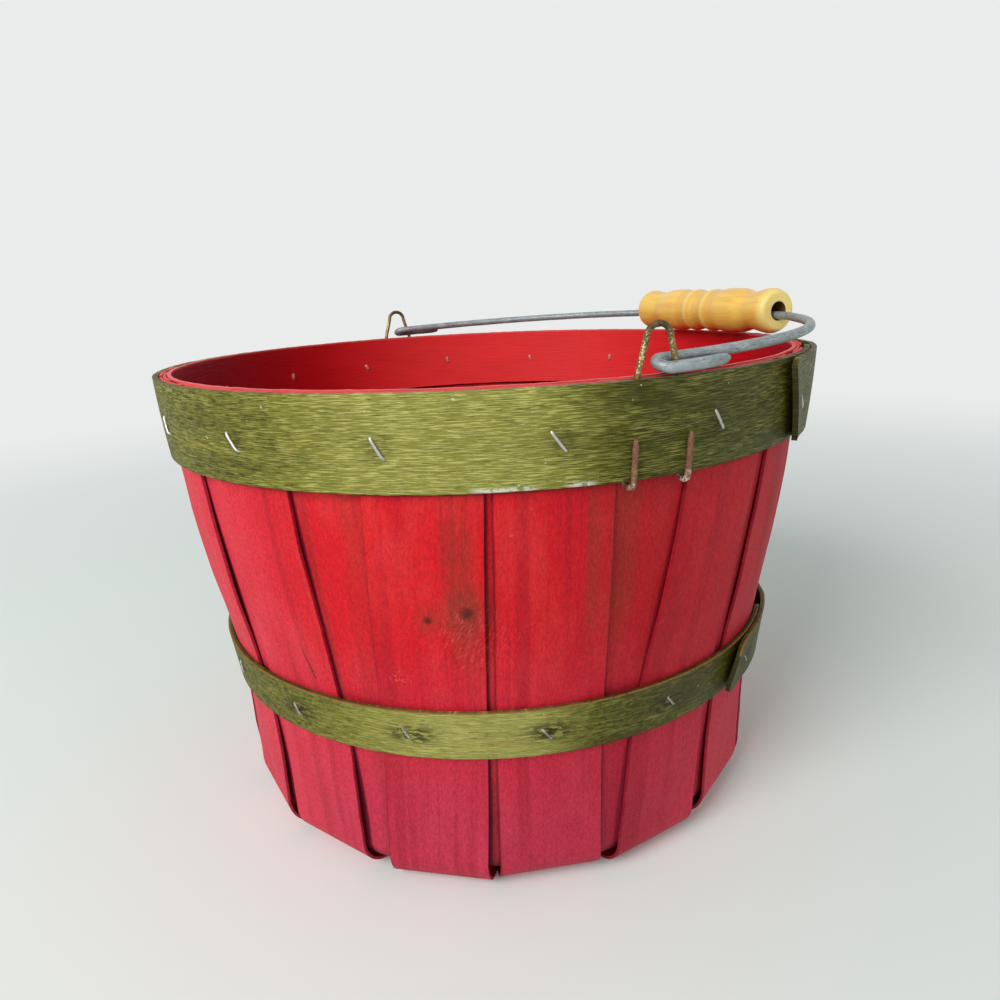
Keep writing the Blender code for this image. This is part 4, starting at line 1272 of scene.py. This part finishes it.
def bail_half(veneer, hoop, wires, grip, reach):
    """Half of the bail: along its hinge line, out from it and above it, from the twisted eye's cut end."""
    station = wall_radius(veneer, veneer.height) - veneer.layer + hoop.gap + wires.ear_wire / 2
    eye = (wires.ear_wire + 2 * wires.eye_clearance + wires.bail_wire) / 2
    start = Vector((station - eye, wires.eye_straight))
    end = Vector((grip.length / 2 + wires.corner_run, reach - wires.corner_drop))
    across = Vector((end.y - start.y, start.x - end.x)).normalized()
    across *= math.copysign(1, -across.x)
    centre = (start + end) / 2 + across * math.sqrt(wires.arm_radius**2 - ((end - start).length / 2) ** 2)
    first, last = [math.atan2(point.y - centre.y, point.x - centre.x) for point in (start, end)]
    arm = []
    for share in shares(24):
        turn = first + (last - first) * share
        arm.append(centre + Vector((math.cos(turn), math.sin(turn))) * wires.arm_radius)
    beside_cut = min(arm, key=lambda point: abs(point.y - wires.eye_return))
    spacing = math.sqrt((wires.bail_wire + wires.eye_gap) ** 2 - wires.eye_drop**2)
    rise = wires.eye_drop / 2
    cut_end = Vector((beside_cut.x + spacing, wires.eye_return, -rise))
    inner = Vector((station + eye, wires.eye_straight, -rise))
    points = [cut_end.lerp(inner, share) for share in (0, 0.12, 0.3, 0.7, 1)]
    for share in shares(16):
        turn = math.pi * share
        along = station + eye * math.cos(turn)
        points.append(Vector((along, eye - eye * math.sin(turn), -rise * math.cos(turn))))
    heading = (arm[-1] - arm[-2]).normalized()
    corner = arm[-1] + heading * ((reach - arm[-1].y) / heading.y)
    run = arm[:-1] + rounded_corner(arm[-1], corner, Vector((0, reach)), wires.corner_radius)
    return points + [Vector((point.x, point.y, rise)) for point in run]


def rounded_corner(before, corner, after, radius):
    """Points round a corner between two straight runs."""
    into = (corner - before).normalized()
    out = (after - corner).normalized()
    turn = into.angle(out)
    side = (out - into * into.dot(out)).normalized()
    centre = corner - into * radius * math.tan(turn / 2) + side * radius
    parts = [turn * share for share in shares(10)]
    return [centre + (into * math.sin(part) - side * math.cos(part)) * radius for part in parts]


class BASKET_OT_bail(bpy.types.Operator):
    """Bend the galvanised bail with its two eyes"""

    bl_idname = "basket.bail"
    bl_label = "Bend the bail"

    def execute(self, context):
        scene = context.scene
        wires, grip = scene.basket_wires, scene.basket_grip
        swing = next(joint for joint in frame["joints"] if joint["name"] == "bail_swing")
        hinge = Vector(swing["pos_m"])
        to_grip = GRIP_CENTRE - hinge
        rise = wires.eye_drop / 2 + (grip.bore - wires.bail_wire) / 2 - scene.basket_hoops.gap
        reach = math.sqrt(to_grip.length_squared - rise * rise)
        rest = math.atan2(to_grip.z, to_grip.x) - math.atan2(rise, reach)
        half = bail_half(scene.basket_veneer, scene.basket_hoops, wires, grip, reach)
        level = [Vector((out, -along, above)) for along, out, above in half]
        level += [Vector((out, along, above)) for along, out, above in reversed(half)]
        tilt = Euler((0, -rest, 0)).to_matrix()
        points = [hinge + tilt @ point for point in level]
        material = galvanised(scene.basket_stain)
        piece = wire_piece("bail_galvanised", points, wires.bail_wire, material, 0.00009)
        ride_as(piece, "bail", "galvanised_wire", "bail")
        return {"FINISHED"}


def grip_outline(grip):
    """The turned outline from end to end, along and out, with the bore's edge at both ends."""
    end = grip.length / 2
    groove, bead, swell, waist, crest = (
        grip.groove / 2, grip.bead / 2, grip.swell / 2, grip.waist / 2, grip.end / 2
    )
    knots = [
        (0, groove),
        (0.0016, groove + 0.0001),
        (0.0032, bead - 0.0005),
        (0.0054, bead),
        (0.0076, bead - 0.0003),
        (0.0094, grip.dip / 2),
        (0.0115, swell - 0.0005),
        (0.0140, swell - 0.0001),
        (0.0170, swell),
        (0.0230, swell - 0.0003),
        (0.0258, swell - 0.0010),
        (end - 0.0130, waist),
        (end - 0.0106, waist + 0.0001),
        (end - 0.0066, crest - 0.0004),
        (end - grip.end_round, crest),
    ]
    half = [(point.x, point.y) for point in arc_points([Vector((along, out, 0)) for along, out in knots])]
    edge = grip.end_edge / 2
    for share in shares(8)[1:]:
        turn = QUARTER * share
        along = end - grip.end_round * (1 - math.sin(turn))
        half.append((along, edge + (crest - edge) * math.cos(turn)))
    half.append((end, grip.bore / 2))
    return [(-along, out) for along, out in reversed(half[1:])] + half


class BASKET_OT_grip(bpy.types.Operator):
    """Turn the wooden grip"""

    bl_idname = "basket.grip"
    bl_label = "Turn the grip"

    def execute(self, context):
        grip = context.scene.basket_grip
        bm = bmesh.new()
        ring = [bm.verts.new((radius, along, 0)) for along, radius in grip_outline(grip)]
        edges = [bm.edges.new((a, b)) for a, b in zip(ring, ring[1:] + ring[:1])]
        turn = {"cent": (0, 0, 0), "axis": (0, 1, 0), "angle": math.tau, "steps": ROUND_STEPS}
        bmesh.ops.spin(bm, geom=ring + edges, use_merge=True, **turn)
        bmesh.ops.remove_doubles(bm, verts=bm.verts, dist=SAME_PLACE)
        bmesh.ops.recalc_face_normals(bm, faces=bm.faces)
        bmesh.ops.translate(bm, verts=bm.verts, vec=GRIP_CENTRE)
        mesh = mesh_from("grip_turned", bm, turned_wood(grip, context.scene.basket_stain))
        mesh.shade_smooth()
        mesh.set_sharp_from_angle(angle=math.radians(50))
        ride_as(linked("grip_turned", mesh), "grip", "turned_wood", "grip")
        return {"FINISHED"}


def seen(graph):
    """1 for what the camera sees, straight or in a reflection, and 0 for light that falls on things."""
    kinds = ("Camera", "Glossy", "Transmission")
    camera, glossy, through = [graph.node("ShaderNodeLightPath", output=f"Is {kind} Ray") for kind in kinds]
    return (camera + glossy + through).clamped()


class BASKET_OT_studio(bpy.types.Operator):
    """Lay the floor, hang the lamps and set up the camera"""

    bl_idname = "basket.studio"
    bl_label = "Set up the studio"

    def execute(self, context):
        studio = context.scene.basket_studio
        self.lay_floor(studio)
        self.light(context, studio)
        camera = bpy.data.cameras.new("Camera")
        camera.lens = studio.lens
        camera.sensor_width = 36
        camera.clip_start = 0.01
        stand = linked("Camera", camera)
        aim = Matrix.Translation(studio.camera_place)
        for turn in (
            (0, 0, -studio.camera_heading),
            (QUARTER - studio.camera_pitch, 0, 0),
            (0, 0, studio.camera_roll),
        ):
            aim @= Euler(turn).to_matrix().to_4x4()
        stand.matrix_world = aim
        context.scene.camera = stand
        context.scene.view_settings.view_transform = "Standard"
        return {"FINISHED"}

    def lay_floor(self, studio):
        """A round floor that fades into the backdrop's colour with distance."""
        paint = Paint("plain_floor", studio)
        grain = paint.noise(paint.place, 3.0, scale=6)
        paint.ground(grain * 0.06, "floor", "sky")
        matt = {"Base Color": paint.colour, "Roughness": 0.75, "Specular IOR Level": 0.2}
        shader = paint.node("ShaderNodeBsdfPrincipled", inputs=matt)
        sky = (*plain(studio, "sky"), 1)
        glow = paint.node("ShaderNodeEmission", inputs={"Color": sky, "Strength": 1.0})
        away = paint.place.vector("LENGTH", output="Value").step(0.15, 1.1) * seen(paint)
        material = paint.close(paint.node("ShaderNodeMixShader", inputs={0: away, 1: shader, 2: glow}))
        bm = bmesh.new()
        bmesh.ops.create_circle(bm, cap_ends=True, segments=ROUND_STEPS, radius=6)
        linked("floor", mesh_from("floor", bm, material))

    def light(self, context, studio):
        """A dim even sky that is seen as the plain backdrop, a large key lamp and a weak fill."""
        world = bpy.data.worlds.new("Studio")
        world.use_nodes = True
        context.scene.world = world
        graph = Graph(world.node_tree)
        level = studio.sky_light + seen(graph) * (1 - studio.sky_light)
        sky = {"Color": (*plain(studio, "sky"), 1), "Strength": level}
        surface = graph.node("ShaderNodeBackground", inputs=sky)
        graph.node("ShaderNodeOutputWorld", inputs={"Surface": surface})
        aim = Vector((0, 0, 0.09))
        for name, place, size, watts in (
            ("Key", (-1.2, -0.62, 1.0), 0.8, studio.key_watts),
            ("Fill", (-0.35, -1.3, 0.95), 0.5, studio.fill_watts),
        ):
            lamp = bpy.data.lights.new(name, "AREA")
            lamp.size = size
            lamp.energy = watts
            hung = linked(name, lamp)
            hung.location = place
            hung.rotation_euler = (aim - Vector(place)).to_track_quat("-Z", "Y").to_euler()


OPERATORS = (
    BASKET_OT_strips,
    BASKET_OT_hoops,
    BASKET_OT_staples,
    BASKET_OT_ears,
    BASKET_OT_bail,
    BASKET_OT_grip,
    BASKET_OT_studio,
)
SETTINGS = {
    "basket_veneer": VeneerSettings,
    "basket_hoops": HoopSettings,
    "basket_wires": WireSettings,
    "basket_grip": GripSettings,
    "basket_stain": StainSettings,
    "basket_studio": StudioSettings,
}


class BASKET_PT_panel(bpy.types.Panel):
    """The basket's pieces and settings in the sidebar"""

    bl_label = "Splint basket"
    bl_idname = "BASKET_PT_panel"
    bl_space_type = "VIEW_3D"
    bl_region_type = "UI"
    bl_category = "Basket"

    def draw(self, context):
        for operator in OPERATORS:
            self.layout.operator(operator.bl_idname)
        for name, group in SETTINGS.items():
            box = self.layout.box()
            box.label(text=group.__doc__)
            for key in group.__annotations__:
                box.prop(getattr(context.scene, name), key)


def register():
    for name, group in SETTINGS.items():
        bpy.utils.register_class(group)
        setattr(bpy.types.Scene, name, bpy.props.PointerProperty(type=group))
    for made in (*OPERATORS, BASKET_PT_panel):
        bpy.utils.register_class(made)


def unregister():
    for made in reversed((*OPERATORS, BASKET_PT_panel)):
        bpy.utils.unregister_class(made)
    for name, group in SETTINGS.items():
        delattr(bpy.types.Scene, name)
        bpy.utils.unregister_class(group)


def main():
    register()
    for operator in OPERATORS:
        space, name = operator.bl_idname.split(".")
        getattr(getattr(bpy.ops, space), name)()


if __name__ == "__main__":
    main()
